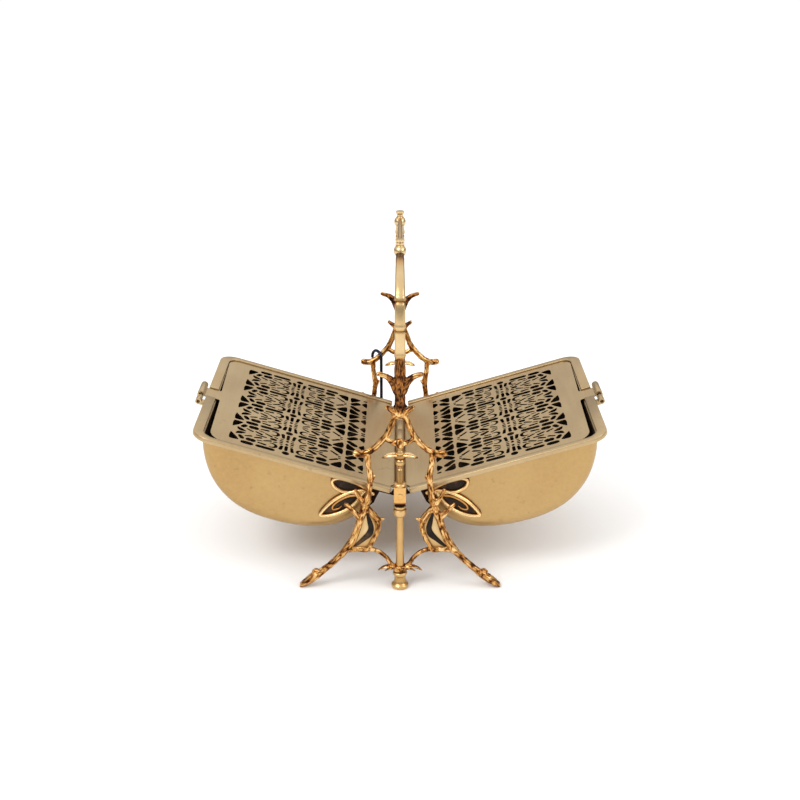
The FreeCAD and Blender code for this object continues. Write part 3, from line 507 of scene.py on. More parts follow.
# %% The twig frames
TRUNK = [(0, 135.5, 1.3), (0, 142, 1.65), (0, 152, 1.55), (0, 164, 1.7), (0, 175, 1.5)]
BOWED_TWIG = [(1.8, 138.5, 1.15), (5, 130, .95), (8.6, 121, 1), (13.2, 114.4, 1), (19.6, 108.2, 1),
              (25.4, 105.4, 1.1), (30.2, 105.6, 1.15)]
CROSS_TWIG = [(-9.8, 116.8, .8), (-5.2, 114, .8), (0, 113.6, 1.15), (5.2, 114, .8), (9.8, 116.8, .8)]
SMALL_THORN = [(1.6, 134, 1.1), (5.4, 137.6, .85), (9, 140.2, .62)]
FLARED_THORN = [(1.5, 152, 1.5), (4.8, 158.4, 1.2), (8.8, 162.4, .9), (14.4, 164.4, .72)]
POST_AND_LEG = [(22.6, 105.4, .95), (22, 97, .9), (20.8, 88, 1.0), (21.3, 80, .92), (22.6, 71.5, 1.05),
                (24.9, 63.5, 1.3), (28.2, 54, 1.15), (31.3, 44, 1.15), (35.8, 34.5, 1.35), (41.6, 27, 1.1),
                (49, 19.4, 1.05), (56.4, 12.7, 1.1)]
POST_THORN = [(21.2, 84, .85), (19.2, 86.6, .65), (17.9, 88.4, .42)]
HOOF = [(54, 14.8, 1.0), (58, 11.0, 1.15), (62, 7.8, 1.2), (66.5, 4.6, 1.15), (70.2, 2.4, .85),
        (72.3, 1.3, .42)]
TOE = [(60.0, 10.6, .9), (63.5, 8.0, 1.0), (67.8, 4.4, .95), (71.0, 2.2, .7), (72.4, 1.3, .4)]
HEEL = [(58.4, 11.4, .8), (60.4, 13.2, .85), (62.0, 12.6, .7)]
UPPER_STUB = [(25, 66, .8), (28.6, 71.6, .75), (31.2, 77.2, .6)]
LOWER_STUB = [(28.6, 55, .9), (33.2, 61.2, .8), (38.2, 66.2, .62)]
BRANCH = [(23.4, 64.6, .8), (20.4, 60.6, .9), (16.2, 54.6, .95), (15.2, 49.4, .8), (17.2, 42, .8),
          (20.4, 35.4, .8), (23.6, 30.2, .8), (29.5, 30.6, .8), (36.5, 31.5, .9)]
BRANCH_THORN = [(16.6, 53.2, .8), (13.8, 54.4, .6), (11.4, 55.0, .34)]
EYE_KNOT = [(0, 112.4, 1.25), (0, 114.8, 1.25)]
TRUNK_SHADE, TRUNK_REACH, TRUNK_LOW, TRUNK_HIGH = 0.55, 9.0, 136.0, 180.0


def frame_lines():
    """Every rod of one frame, as smooth lines in the plane y = 0."""
    lines = [twig_line(TRUNK), twig_line(CROSS_TWIG), twig_line(EYE_KNOT, y=-0.8)]
    for side in (-1, 1):
        for path in (BOWED_TWIG, SMALL_THORN, FLARED_THORN, POST_AND_LEG, POST_THORN, HOOF, HEEL,
                     UPPER_STUB, LOWER_STUB, BRANCH, BRANCH_THORN):
            lines.append(twig_line(path, side))
        for depth in (-1.5, 1.5):
            lines.append(twig_line(TOE, side, y=depth))
    return lines


def flatten_at(mesh, low=0.0, reach=72.5):
    """The feet stand flat on the ground and end at the toe."""
    for vertex in mesh.vertices:
        vertex.co.z = max(vertex.co.z, low)
        vertex.co.x = max(-reach, min(reach, vertex.co.x))


lines = frame_lines()
wax = remeshed(*joined([rod(line) for line in lines]), voxel=0.5)
for end, turn in ENDS.items():
    casting = bark(wax.copy(), lines, seed=3.0 + turn)
    darkened(casting, TRUNK_SHADE, TRUNK_REACH, TRUNK_LOW, TRUNK_HIGH)
    flatten_at(casting)
    names = [end + "_arch"] + ["%s_%s_%s" % (end, hand, piece) for hand in HANDS
                               for piece in ("post", "leg", "branch")]
    seat(end + "_twig_frame", casting, frame_place(end), "stand", "cast_brass", names, sharp=80)

# %% [markdown]
# Between each leg and its inner branch the casting is closed by a thin polished plate, set
# back from the face and slightly dished. It is a filled outline painted bright in the middle, as a
# reflection in the polished dish, and dark at the rim, as shade in the corner. A flat dark rod
# laid along it is painted shade and dark reflection at the deepest part of the hollow.

# %% Dished webs between leg and branch
WEB = [(22.8, 61.0), (19.2, 56.0), (16.8, 50.4), (17.4, 45.0), (20.4, 38.0), (23.6, 32.6), (29.0, 31.6),
       (34.6, 33.6), (33.2, 38.6), (30.2, 45.4), (27.2, 54.4), (24.6, 61.6)]
HOLLOW_BAND = [(23.4, 59.6, .7), (21.6, 53, 1.7), (20.6, 47.5, 2.0), (22.0, 43, 2.3), (25.6, 39.4, 1.7),
               (30, 35.4, 1.3), (33, 33.2, .6)]


def drawn_in(outline, share):
    """The outline drawn in towards its middle, down to a share of its size."""
    middle = np.mean(outline, axis=0)
    return [tuple(middle + (np.array(point) - middle) * share) for point in outline]


def dished_plate(outline, thick, dish, side):
    """A plate in the plane y = 0 whose front face is hollowed by dish."""
    points, faces, relief = [], [], []
    shares = (1.0, 0.93, 0.8, 0.6, 0.35, 0.12)
    size = len(outline)
    for face_sign in (-1, 1):
        for share in shares:
            for x, z in drawn_in(outline, share):
                hollow = dish * (1 - share ** 2) if face_sign < 0 else 0.0
                points.append((side * x, face_sign * thick / 2 + hollow, z))
                # Painted light: the rim is dark as shade in the corner, the middle bright as a reflection in
                # the dish.
                relief.append(0.12 if share > 0.9 else 0.5 + 0.5 * (1 - share))
    rows = len(shares)
    for layer in (0, rows):
        for ring in range(rows - 1):
            for k in range(size):
                a = (layer + ring) * size + k
                b = (layer + ring) * size + (k + 1) % size
                faces.append((a, b, b + size, a + size))
        faces.append(tuple((layer + rows - 1) * size + k for k in range(size)))
    for k in range(size):
        a, b = k, (k + 1) % size
        faces.append((a, b, rows * size + b, rows * size + a))
    mesh = tidy(mesh_from("web", points, faces), weld=0.0005)
    set_wear_and_painted_light(mesh, relief if len(mesh.vertices) == len(relief) else np.full(len(mesh.vertices), 0.8))
    return mesh


smooth_web = [tuple(row[:2]) for row in smooth_stations([(x, z, 0) for x, z in WEB + WEB[:1]], 1.5)[:-1]]
for end in ENDS:
    for hand, side in HANDS.items():
        drawn = side if end == "front" else -side
        plate = dished_plate(smooth_web, 1.6, 0.7, drawn)
        name = "%s_%s_web" % (end, hand)
        seat(name + "_plate", plate, frame_place(end), "stand", "cast_brass", [name], finish="handle_brass")
        # A dark rod of painted shade and dark reflection along the deepest part of the hollow.
        band = smooth_stations([(drawn * x, -0.75, z, r) for x, z, r in HOLLOW_BAND])
        hollow = tidy(mesh_from("band", *rod(band, flat=(1.0, 0.3))))
        seat(name + "_hollow", hollow, frame_place(end), "stand", "cast_brass", finish="dark_inside")

# %% [markdown]
# The brace is a thinner casting of its own: two S-curved twigs that sweep down from the legs
# to a collar round the column, where each lets go a pair of curled leaves. Below the finial
# a second small ring carries two pointed leaves. Leaves are rods squashed flat.

# %% Brace and leaves
BRACE_TWIG = [(37.6, 29.6, .75), (32, 30.6, .8), (24, 30.9, .75), (16, 29.2, .70), (10, 24.2, .70),
              (6.6, 19, .75), (3.6, 16.2, .8)]
CURL_UPPER = [(4, 16.6, .7), (8.4, 17.0, .62), (12.6, 15.8, .5), (15.6, 13.6, .25)]
CURL_LOWER = [(4, 15.2, .6), (7.6, 14.9, .5), (10.6, 13.2, .28)]
BRACE_COLLAR_RADIUS = 4.9
ROD_RADIUS = 3.0


def ring_solid(outline, sides=48):
    """A ring turned from a closed outline of (radius, height)."""
    points, faces = [], []
    size = len(outline)
    for k in range(sides):
        turn = 2 * math.pi * k / sides
        points += [(r * math.cos(turn), r * math.sin(turn), z) for r, z in outline]
    for k in range(sides):
        for i in range(size):
            a, b = k * size + i, k * size + (i + 1) % size
            c, d = ((k + 1) % sides) * size + (i + 1) % size, ((k + 1) % sides) * size + i
            faces.append((a, b, c, d))
    return points, faces


def leaf(path, side, width, thick):
    return rod(twig_line(path, side), sides=16, dome=2, flat=(thick, width))


def brace_wax():
    """Both twigs, their leaves and the collar in one skin, and the lines the bark follows."""
    lines, parts = [], []
    for side in (-1, 1):
        line = twig_line(BRACE_TWIG, side)
        lines.append(line)
        parts.append(rod(line))
        parts += [leaf(CURL_UPPER, side, 1.7, 0.62), leaf(CURL_LOWER, side, 1.5, 0.62)]
        lines += [twig_line(CURL_UPPER, side), twig_line(CURL_LOWER, side)]
    collar = [(ROD_RADIUS + 0.05, 13.7), (4.5, 13.7), (BRACE_COLLAR_RADIUS, 14.4),
              (BRACE_COLLAR_RADIUS, 16.8), (4.3, 18.0), (ROD_RADIUS + 0.05, 18.0)]
    parts.append(ring_solid(collar))
    return remeshed(*joined(parts), voxel=0.36, relax=2), lines


brace, brace_lines = brace_wax()
for end, turn in ENDS.items():
    casting = bark(brace.copy(), brace_lines, groove=0.12, lump=0.14, seed=5.0 + turn)
    seat(end + "_brace_casting", casting, frame_place(end), "stand", "cast_brass", [end + "_brace"],
         sharp=80)

LEAF = [(2.0, 104.2, .8), (5.0, 104.7, 1.1), (8.4, 103.9, 1.0), (11.2, 102.8, .6), (12.4, 102.2, .12)]
for end, turn in ENDS.items():
    pair = [leaf(LEAF, side, 1.2, 0.62) for side in (-1, 1)]
    pair.append(ring_solid([(2.05, 101.9), (3.2, 101.9), (3.7, 103.2), (3.2, 104.7), (2.05, 104.7)]))
    mesh = tidy(mesh_from("leaves", *joined(pair)))
    height = np.array([v.co.z for v in mesh.vertices])
    # Painted light: the leaves are lighter towards the top and darker underneath, as lit from above.
    set_wear_and_painted_light(mesh, np.clip(0.35 + (height - 102.6) * 0.45, 0.05, 1.0))
    seat(end + "_leaf_pair", mesh, frame_place(end), "stand", "cast_brass", [end + "_leaves"])

# %% [markdown]
# The column is turned work: a spool foot, a tapered rod and a double collar. Its outline is
# turned round the axis and the sharp edges are broken by a small bevel, because a lathe
# tool never leaves a knife edge. The block above holds the pin, and is cast and filed square.

# %% Turned columns, finials and pin blocks
COLUMN = [(0, 0), (4.8, 0), (5.9, 0.5), (6.15, 1.3), (6.15, 2.8), (5.3, 3.5), (4.6, 4.4), (4.1, 5.8),
          (3.95, 7.6), (4.1, 9.2), (4.6, 10.3), (5.0, 10.6), (5.1, 11.2), (5.1, 12.4), (4.7, 12.9),
          (3.2, 13.1), (3.0, 13.5), (3.0, 18.2), (2.85, 30), (2.5, 56.4), (2.5, 57.6), (3.6, 57.9),
          (4.6, 58.6), (4.7, 59.2),
          (4.7, 62.4), (4.3, 62.8), (3.5, 63.0), (3.5, 64.0), (4.4, 64.3), (4.4, 65.3), (3.3, 65.8), (0, 66)]
FINIAL = [(0, 81), (4.2, 81), (4.4, 81.6), (4.4, 82.4), (3.9, 83.1), (2.3, 83.7), (2.3, 93.4), (1.9, 94),
          (1.5, 94.3), (1.5, 96.2), (2.5, 96.7), (3.2, 97.6), (3.5, 98.6), (3.5, 99.6), (3.1, 101),
          (2.4, 101.7), (2.0, 101.9), (2.0, 104.7), (2.7, 105.1), (3.1, 106.2), (3.0, 107.1),
          (2.2, 108.2), (1.8, 109.6), (1.8, 112.6), (0, 112.8)]


def turned(outline, sides=56):
    """A solid turned round the z axis from (radius, height) rows that start and end at the axis."""
    inner = outline[1:-1]
    points = [(0, 0, outline[0][1])]
    for r, z in inner:
        points += [(r * math.cos(2 * math.pi * k / sides), r * math.sin(2 * math.pi * k / sides), z)
                   for k in range(sides)]
    points.append((0, 0, outline[-1][1]))
    faces = []
    for k in range(sides):
        n = (k + 1) % sides
        faces.append((0, 1 + n, 1 + k))
        for i in range(len(inner) - 1):
            a = 1 + i * sides
            faces.append((a + k, a + n, a + sides + n, a + sides + k))
        top = 1 + (len(inner) - 1) * sides
        faces.append((top + k, top + n, len(points) - 1))
    return points, faces


def groove_relief(mesh, outline):
    """Tarnish stays where the outline dips below its own running mean."""
    heights = np.arange(outline[0][1] - 2, outline[-1][1] + 2, 0.1)
    steps = [z + 0.001 * i for i, (r, z) in enumerate(outline)]
    radii = np.interp(heights, steps, [r for r, z in outline])
    dips = radii - np.convolve(radii, np.ones(31) / 31, mode="same")
    at = np.interp([v.co.z for v in mesh.vertices], heights, dips)
    set_wear_and_painted_light(mesh, np.clip(0.85 + at * 0.55, 0, 1))
    return mesh


def box_solid(low, high):
    points = [(x, y, z) for x in (low[0], high[0]) for y in (low[1], high[1]) for z in (low[2], high[2])]
    faces = [(0, 1, 3, 2), (4, 6, 7, 5), (0, 4, 5, 1), (2, 3, 7, 6), (0, 2, 6, 4), (1, 5, 7, 3)]
    return points, faces


def pin_block():
    """The block with a filed band near its foot and a shallow boss where the pin ends."""
    parts = [box_solid((-4.3, -4.2, 68.4), (4.3, 4.2, 81.0)), box_solid((-3.7, -3.6, 66.0), (3.7, 3.6, 69.0))]
    boss = ring_solid([(0.2, 4.0), (2.2, 4.0), (2.2, 4.45), (0.2, 4.45)], 32)
    parts.append(([(x, -z, 74 + y) for x, y, z in boss[0]], boss[1]))
    return remeshed(*joined(parts), voxel=0.32, relax=2)


block_line = [smooth_stations([(0, 0, 64, 1), (0, 0, 83, 1)])]
for end, turn in ENDS.items():
    column = groove_relief(soften(tidy(mesh_from("column", *turned(COLUMN))), 0.15), COLUMN)
    seat(end + "_turned_column", column, frame_place(end), "stand", "turned_brass", [end + "_column"])
    finial = groove_relief(soften(tidy(mesh_from("finial", *turned(FINIAL))), 0.15), FINIAL)
    seat(end + "_turned_finial", finial, frame_place(end), "stand", "turned_brass", [end + "_finial"])
    block = bark(pin_block(), block_line, groove=0.02, lump=0.14, seed=11.0 + turn)
    # Painted shade: the foot under the block's overhang and the block's lowest band are darkened.
    painted_foot_shade = [min(1.0, max(0.1, (v.co.z - 67.6) / 2.2)) for v in block.vertices]
    block.attributes.remove(block.attributes["relief"])
    set_wear_and_painted_light(block, np.array(painted_foot_shade) * 0.78)
    seat(end + "_block", block, frame_place(end), "stand", "cast_brass", [end + "_pivot_block"], sharp=60)

# %% [markdown]
# The bail handle is two flat castings that rise from the frames, bend in at the shoulders
# and end in ball knobs, with a short grip between them. Seen from the end it is slim, so
# its ribs, the ball and the button on top of it are what give it character.

# %% Bail handle
STRAP = [(93.85, 172, 1), (93.85, 190, 1), (93.6, 204, 1), (90.6, 216, .96), (82.5, 225, .92),
         (68, 230.6, .86), (56, 233.2, .80), (46.5, 234.6, .74)]
RIB_HEIGHTS = (178.0, 198.0, 217.0)
STRAP_HALF = (3.6, 2.6)
KNOB_OFFSET, KNOB_HEIGHT, KNOB_RADIUS = 42.8, 236.6, 4.4


def strap(sign):
    """One arm: a squarish bar with ribs, browner in its notches and at its foot, with painted shade at its
    edges and a painted shadow under the ball.
    """
    line = smooth_stations([(0.0, sign * y, z, factor) for y, z, factor in STRAP], 0.8)
    points, faces, relief, sides = [], [], [], 20
    tangents = np.gradient(line[:, :3], axis=0)
    tangents /= np.linalg.norm(tangents, axis=1)[:, None]
    for (x, y, z, factor), tangent in zip(line, tangents):
        rib = max(math.exp(-((z - h) / 1.1) ** 2) for h in RIB_HEIGHTS)
        notch = max(math.exp(-((z - h + 2.6) / 0.8) ** 2) for h in RIB_HEIGHTS)
        swell = factor * (1 + 0.10 * rib - 0.10 * notch)
        inward = np.cross(tangent, (1.0, 0.0, 0.0))
        for k in range(sides):
            turn = 2 * math.pi * k / sides
            cx, cy = math.cos(turn), math.sin(turn)
            square = (abs(cx) ** 3 + abs(cy) ** 3) ** (-1 / 3)
            points.append(np.array([x, y, z]) + swell * square
                          * (np.array([cx * STRAP_HALF[0], 0, 0]) + inward * cy * STRAP_HALF[1]))
            # Browner in the notches and at the foot; a painted shadow under the ball and painted shade along
            # the sides.
            dark = max(notch, 0.8 * math.exp(-((z - 174) / 4) ** 2),
                       1.2 * math.exp(-((abs(y) - 49.0) / 12.0) ** 2) if z > 226 else 0)
            edge = max(0.0, abs(cx) - 0.74) / 0.26
            relief.append(0.95 - 0.9 * min(dark, 1) - 0.42 * edge)
    for i in range(len(line) - 1):
        for k in range(sides):
            a, b = i * sides + k, i * sides + (k + 1) % sides
            faces.append((a, b, b + sides, a + sides))
    faces += [tuple(range(sides - 1, -1, -1)), tuple(range(len(points) - sides, len(points)))]
    mesh = mesh_from("strap", points, faces)
    set_wear_and_painted_light(mesh, relief)
    return tidy(mesh, weld=0.0005)


def knob(sign):
    """A ball with a button on top."""
    outline = [(0, -KNOB_RADIUS)] + [(KNOB_RADIUS * math.cos(a), KNOB_RADIUS * math.sin(a))
                                     for a in np.linspace(-1.45, 0.86, 16)]
    outline += [(2.6, 3.7), (2.45, 4.6), (2.5, 5.8), (2.9, 6.5), (3.2, 7.0), (3.2, 7.9), (2.8, 8.3),
                (0, 8.4)]
    points, faces = turned(outline, 40)
    points = [(x, y + sign * KNOB_OFFSET, z + KNOB_HEIGHT) for x, y, z in points]
    mesh = tidy(mesh_from("knob", points, faces))
    set_wear_and_painted_light(mesh, [0.62 if 3.2 < v.co.z - KNOB_HEIGHT < 4.4 else 1.0 for v in mesh.vertices])
    return mesh


for end, sign in ENDS.items():
    seat("handle_%s_arm" % end, strap(sign), Matrix.Identity(4), "stand", "handle_brass",
         ["handle_%s_strap" % end], sharp=60)
    seat("handle_%s_ball" % end, knob(sign), Matrix.Identity(4), "stand", "handle_brass",
         ["handle_%s_knob" % end])

grip_rows = [(0, y, 238.6 + 0.8 * math.cos(y / 80 * math.pi), 1.75 + 0.3 * math.cos(y / 40 * math.pi))
             for y in np.linspace(-40.5, 40.5, 17)]
grip = tidy(mesh_from("grip", *rod(smooth_stations(grip_rows), sides=24)))
# Painted shade: the grip is kept dark, darkest next to the balls, and lighter in the middle where the hand
# rubs it.
set_wear_and_painted_light(grip, [0.30 + 0.45 * math.cos(v.co.y / 80 * math.pi) for v in grip.vertices])
seat("handle_bar", grip, Matrix.Identity(4), "stand", "handle_brass", ["handle_grip"], sharp=60)

# %% [markdown]
# Each bucket is a D-shaped trough of drawn sheet: a smooth hook of a curve, carried from end
# wall to end wall and rolled over into both with a soft fillet. The wall is built twice, as
# the outside and as the inside a sheet's thickness in, and closed at the mouth.

# %% Bucket shells
SHELL_PROFILE = [(12.9, -5.5), (13.3, -12), (15.8, -21), (20, -30.5), (26.5, -39), (36.5, -46.8),
                 (50, -52.4), (65, -55.3), (81, -56.2), (96, -55), (109.5, -51.2), (121, -44.6),
                 (130.5, -35.8), (137.5, -25.4), (142.2, -14.8), (144.8, -5.5)]
SHELL_HALF, SHELL_WALL, SHELL_FILLET, SHELL_TOP = 79.5, 1.2, 9.0, -5.5


def profile_inset(depth, count=72):
    """The bucket's section moved inwards by depth and cut level with the mouth."""
    first, last = np.array(SHELL_PROFILE[0]), np.array(SHELL_PROFILE[-1])
    rows = [(*(first + (first - np.array(SHELL_PROFILE[1])) * 3), 0)]
    rows += [(u, w, 0) for u, w in SHELL_PROFILE]
    rows += [(*(last + (last - np.array(SHELL_PROFILE[-2])) * 1.5), 0)]
    line = smooth_stations(rows, 0.8)[:, :2]
    tangent = np.gradient(line, axis=0)
    tangent /= np.linalg.norm(tangent, axis=1)[:, None]
    moved = line + np.column_stack([-tangent[:, 1], tangent[:, 0]]) * depth
    below = np.where(moved[:, 1] < SHELL_TOP)[0]
    start, stop = below[0], below[-1]

    def at_mouth(outside, inside):
        share = (SHELL_TOP - moved[inside, 1]) / (moved[outside, 1] - moved[inside, 1])
        return moved[inside] + (moved[outside] - moved[inside]) * share

    cut = np.vstack([at_mouth(start - 1, start), moved[start:stop + 1], at_mouth(stop + 1, stop)])
    length = np.concatenate([[0], np.cumsum(np.linalg.norm(np.diff(cut, axis=0), axis=1))])
    even = np.linspace(0, length[-1], count)
    return np.column_stack([np.interp(even, length, cut[:, 0]), np.interp(even, length, cut[:, 1])])


def trough_skin(shrink, fillet):
    """Sections from end to end; the fillet's quarter circle sets how far each is drawn in."""
    half = SHELL_HALF - shrink
    quarter = [(half - fillet + fillet * math.sin(a), fillet - fillet * math.cos(a))
               for a in np.linspace(0, math.pi / 2, 9)]
    stations = [(-v, d) for v, d in reversed(quarter)] + quarter
    return [[(u, v, w) for u, w in profile_inset(shrink + depth)] for v, depth in stations]


def shell_mesh():
    """Both skins, their end walls and the lip between them at the mouth."""
    outer, inner = trough_skin(0.0, SHELL_FILLET), trough_skin(SHELL_WALL, SHELL_FILLET - SHELL_WALL)
    points, faces, inside = [], [], []
    rows, size = len(outer), len(outer[0])
    for skin in (outer, inner):
        for section in skin:
            points += section
    for layer in (0, rows * size):
        for i in range(rows - 1):
            for k in range(size - 1):
                a = layer + i * size + k
                faces.append((a, a + 1, a + size + 1, a + size))
                inside.append(layer > 0)
        for row in (0, rows - 1):
            faces.append(tuple(layer + row * size + k for k in range(size)))
            inside.append(layer > 0)
    rim_loop = [i * size for i in range(rows)] + [i * size + size - 1 for i in range(rows - 1, -1, -1)]
    shift = rows * size
    for a, b in zip(rim_loop, rim_loop[1:] + rim_loop[:1]):
        faces.append((a, b, b + shift, a + shift))
        inside.append(False)
    mesh = mesh_from("shell", points, faces)
    mesh.materials.append(FINISHES["bucket_brass"])
    mesh.materials.append(FINISHES["dark_inside"])
    # The inside skin gets the near-black finish, painted shade inside the bucket.
    for polygon, dark in zip(mesh.polygons, inside):
        polygon.material_index = 1 if dark else 0
    return tidy(mesh)


for hand in HANDS:
    seat(hand + "_bucket_shell", shell_mesh(), bucket_place(hand), hand + "_bucket", "bucket_brass",
         [hand + "_shell"], sharp=50)

# %% [markdown]
# Rims, catches, rolls and the spacers on the pin are plain worked pieces whose shape
# the model already has. A copy of each is welded, its flat faces are made whole again, and
# every edge is eased, which is what makes small metal parts catch the light.

# %% Eased copies of the plain worked pieces
def eased(node, width, segments=3):
    """A copy of a CAD node, in millimetres, with its edges rounded."""
    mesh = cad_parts[node].data.copy()
    mesh.materials.clear()
    mesh.transform(Matrix.Scale(1 / MM, 4))
    shape = bmesh.new()
    shape.from_mesh(mesh)
    bmesh.ops.remove_doubles(shape, verts=shape.verts, dist=0.004)
    bmesh.ops.dissolve_limit(shape, angle_limit=math.radians(0.6), verts=shape.verts, edges=shape.edges)
    shape.to_mesh(mesh)
    shape.free()
    return soften(mesh, width, segments, angle=38)


EASED = {"rim": ("bucket", "lid_brass", 0.5), "catch": ("bucket", "lid_brass", 0.2),
         "lid_roll": ("lid_body", "lid_brass", 0.25)}
for hand in HANDS:
    for piece, (body, slot, width) in EASED.items():
        node = "%s_%s" % (hand, piece)
        seat(node + "_eased", eased(node, width), Matrix.Identity(4), "%s_%s" % (hand, body), slot,
             [node])
for end in ENDS:
    node = end + "_spacer"
    seat(node + "_eased", eased(node, 0.3), Matrix.Identity(4), "stand", "turned_brass", [node])
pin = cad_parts["hinge_pin"]
pin.data.materials.clear()
pin.data.materials.append(FINISHES["turned_brass"])

# %% [markdown]
# Knuckles and rivets repeat, so one Geometry Nodes tree sets copies of a small piece on a
# row of points. Its sizes are named inputs, and the result is turned into a plain mesh.

# %% A tree that sets copies in a row
BORE_RADIUS = 1.55


def tree_with(name, sockets):
    """A new tree with a geometry input and output and the named inputs."""
    tree = bpy.data.node_groups.new(name, "GeometryNodeTree")
    tree.interface.new_socket("Geometry", in_out="INPUT", socket_type="NodeSocketGeometry")
    for title, kind in sockets:
        tree.interface.new_socket(title, in_out="INPUT", socket_type="NodeSocket" + kind)
    tree.interface.new_socket("Geometry", in_out="OUTPUT", socket_type="NodeSocketGeometry")
    return tree, tree.nodes.new("NodeGroupInput"), tree.nodes.new("NodeGroupOutput")


def add(tree, kind, settings=None, **links):
    """One node: its settings first, then values or sockets by input name."""
    made = tree.nodes.new(kind)
    for key, value in (settings or {}).items():
        setattr(made, key, value)
    for key, value in links.items():
        socket = made.inputs[key.replace("_", " ")]
        for one in value if isinstance(value, list) else [value]:
            if isinstance(one, bpy.types.NodeSocket):
                tree.links.new(one, socket)
            else:
                socket.default_value = one
    return made


def row_of_copies():
    tree, start, end = tree_with("row of copies", [("Piece", "Object"), ("Count", "Int"),
                                                   ("First", "Vector"), ("Step", "Vector"),
                                                   ("Finish", "Material")])
    given = start.outputs
    line = add(tree, "GeometryNodeMeshLine", {"mode": "OFFSET"}, Count=given["Count"],
               Start_Location=given["First"], Offset=given["Step"])
    piece = add(tree, "GeometryNodeObjectInfo", None, Object=given["Piece"])
    copies = add(tree, "GeometryNodeInstanceOnPoints", None, Points=line.outputs["Mesh"],
                 Instance=piece.outputs["Geometry"])
    both = add(tree, "GeometryNodeJoinGeometry", None, Geometry=[copies.outputs[0], given["Geometry"]])
    real = add(tree, "GeometryNodeRealizeInstances", None, Geometry=both.outputs[0])
    done = add(tree, "GeometryNodeSetMaterial", None, Geometry=real.outputs[0], Material=given["Finish"])
    tree.links.new(done.outputs[0], end.inputs[0])
    return tree


def run_tree(tree, base, values):
    """Work a tree on a base object and hand back a plain mesh."""
    modifier = base.modifiers.new("Tree", "NODES")
    modifier.node_group = tree
    names = {item.name: item.identifier for item in tree.interface.items_tree
             if item.in_out == "INPUT"}
    for title, value in values.items():
        modifier[names[title]] = value
    return baked(base)


COPIES = row_of_copies()
print("tree inputs:", [item.name for item in COPIES.interface.items_tree])

# %% [markdown]
# A bucket hangs on the pin by two ears. Each is a small eye with a slim arm that passes under
# the rim to a foot on the end wall, where two rivets hold it. The ears of the two buckets
# share the pin, so on each end one bucket's ear runs inside and the other's outside. The
# feet are painted dark, partly as tarnish and partly as the shade under the rim; the rivet heads are painted
# bright as highlights.

# %% Hinge ears with rivets
EAR_EYE_RADIUS, EAR_THICK, EAR_GAP = 3.3, 1.3, 0.4
EAR_ARM = [(-2.2, -2.4), (3.2, -0.8), (5.0, -5.9), (13.2, -5.9), (13.2, -7.5), (3.0, -7.3)]
EAR_FOOT = [(12.9, -5.9), (20.6, -5.9), (22.6, -9.0), (22.0, -19.4), (17.6, -21.6), (14.6, -17.0)]
FIRST_RIVET, RIVET_STEP, RIVET_RADIUS = (17.2, -10.4), (0.6, -6.2), 1.5


def upright_plate(outline, low, high):
    """An outline in (out, up) given thickness along the pin."""
    size = len(outline)
    points = [(u, v, w) for v in (low, high) for u, w in outline]
    faces = [tuple(range(size)), tuple(range(size, 2 * size))]
    faces += [(k, (k + 1) % size, size + (k + 1) % size, size + k) for k in range(size)]
    return points, faces


def ear_mesh(start, sign):
    eye = ring_solid([(BORE_RADIUS, 0), (EAR_EYE_RADIUS, 0), (EAR_EYE_RADIUS, EAR_THICK),
                      (BORE_RADIUS, EAR_THICK)], 36)
    eye = ([(x, start + z, y) for x, y, z in eye[0]], eye[1])
    parts = [eye, upright_plate(EAR_ARM, start, start + EAR_THICK),
             upright_plate(EAR_FOOT, SHELL_HALF, start + EAR_THICK)]
    points, faces = joined(parts)
    return soften(tidy(mesh_from("ear", [(u, sign * v, w) for u, v, w in points], faces)), 0.16)


def rivet_head(sign):
    """A low dome on a short neck that sinks into the ear."""
    outline = [(0, -0.2), (RIVET_RADIUS, -0.2)]
    outline += [(RIVET_RADIUS * math.cos(a), RIVET_RADIUS * 0.7 * math.sin(a))
                for a in np.linspace(0.0, 1.4, 7)] + [(0, RIVET_RADIUS * 0.7)]
    points, faces = turned(outline, 24)
    return new_object("rivet", tidy(mesh_from("rivet", [(x, sign * z, y) for x, y, z in points], faces)))


for hand, side in HANDS.items():
    for end, world_sign in ENDS.items():
        sign = world_sign * side
        outside = (hand == "right") == (end == "back")
        start = SHELL_HALF + (EAR_THICK + EAR_GAP if outside else 0.0)
        face = start + EAR_THICK
        rivet = rivet_head(sign)
        base = new_object("ear", ear_mesh(start, sign))
        mesh = run_tree(COPIES, base, {"Piece": rivet, "Count": 2, "Finish": FINISHES["cast_brass"],
                                       "First": (FIRST_RIVET[0], sign * face, FIRST_RIVET[1]),
                                       "Step": (RIVET_STEP[0], 0, RIVET_STEP[1])})
        for helper in (rivet, base):
            bpy.data.objects.remove(helper)
        # Rivet heads painted bright as highlights; the rest of the ear painted dark, partly tarnish and
        # partly shade under the rim.
        set_wear_and_painted_light(mesh, [1.0 if abs(v.co.y) > face + 0.02 else 0.12 for v in mesh.vertices])
        seat("%s_%s_hinge_ear" % (hand, end), mesh, bucket_place(hand), hand + "_bucket", "bucket_brass",
             ["%s_%s_ear" % (hand, end)], finish="cast_brass")

# %% [markdown]
# The lid's hinge is a leaf with four short barrels that run on the pin, and the other lid's
# barrels fill the gaps between them. One barrel is turned, its ends are eased, and the tree
# sets it four times, two pitches apart.

# %% Hinge leaves and barrels
BARREL_PITCH, BARREL_GAP, BARREL_RADIUS = 18.8, 0.4, 2.6


def barrel():
    """One knuckle of the hinge, bored for the pin."""
    length = BARREL_PITCH - BARREL_GAP
    points, faces = ring_solid([(BORE_RADIUS, 0.2), (BARREL_RADIUS, 0.2), (BARREL_RADIUS, length + 0.2),
                                (BORE_RADIUS, length + 0.2)], 36)
    points = [(x, z, -y) for x, y, z in points]
    return new_object("barrel", soften(tidy(mesh_from("barrel", points, faces)), 0.2))


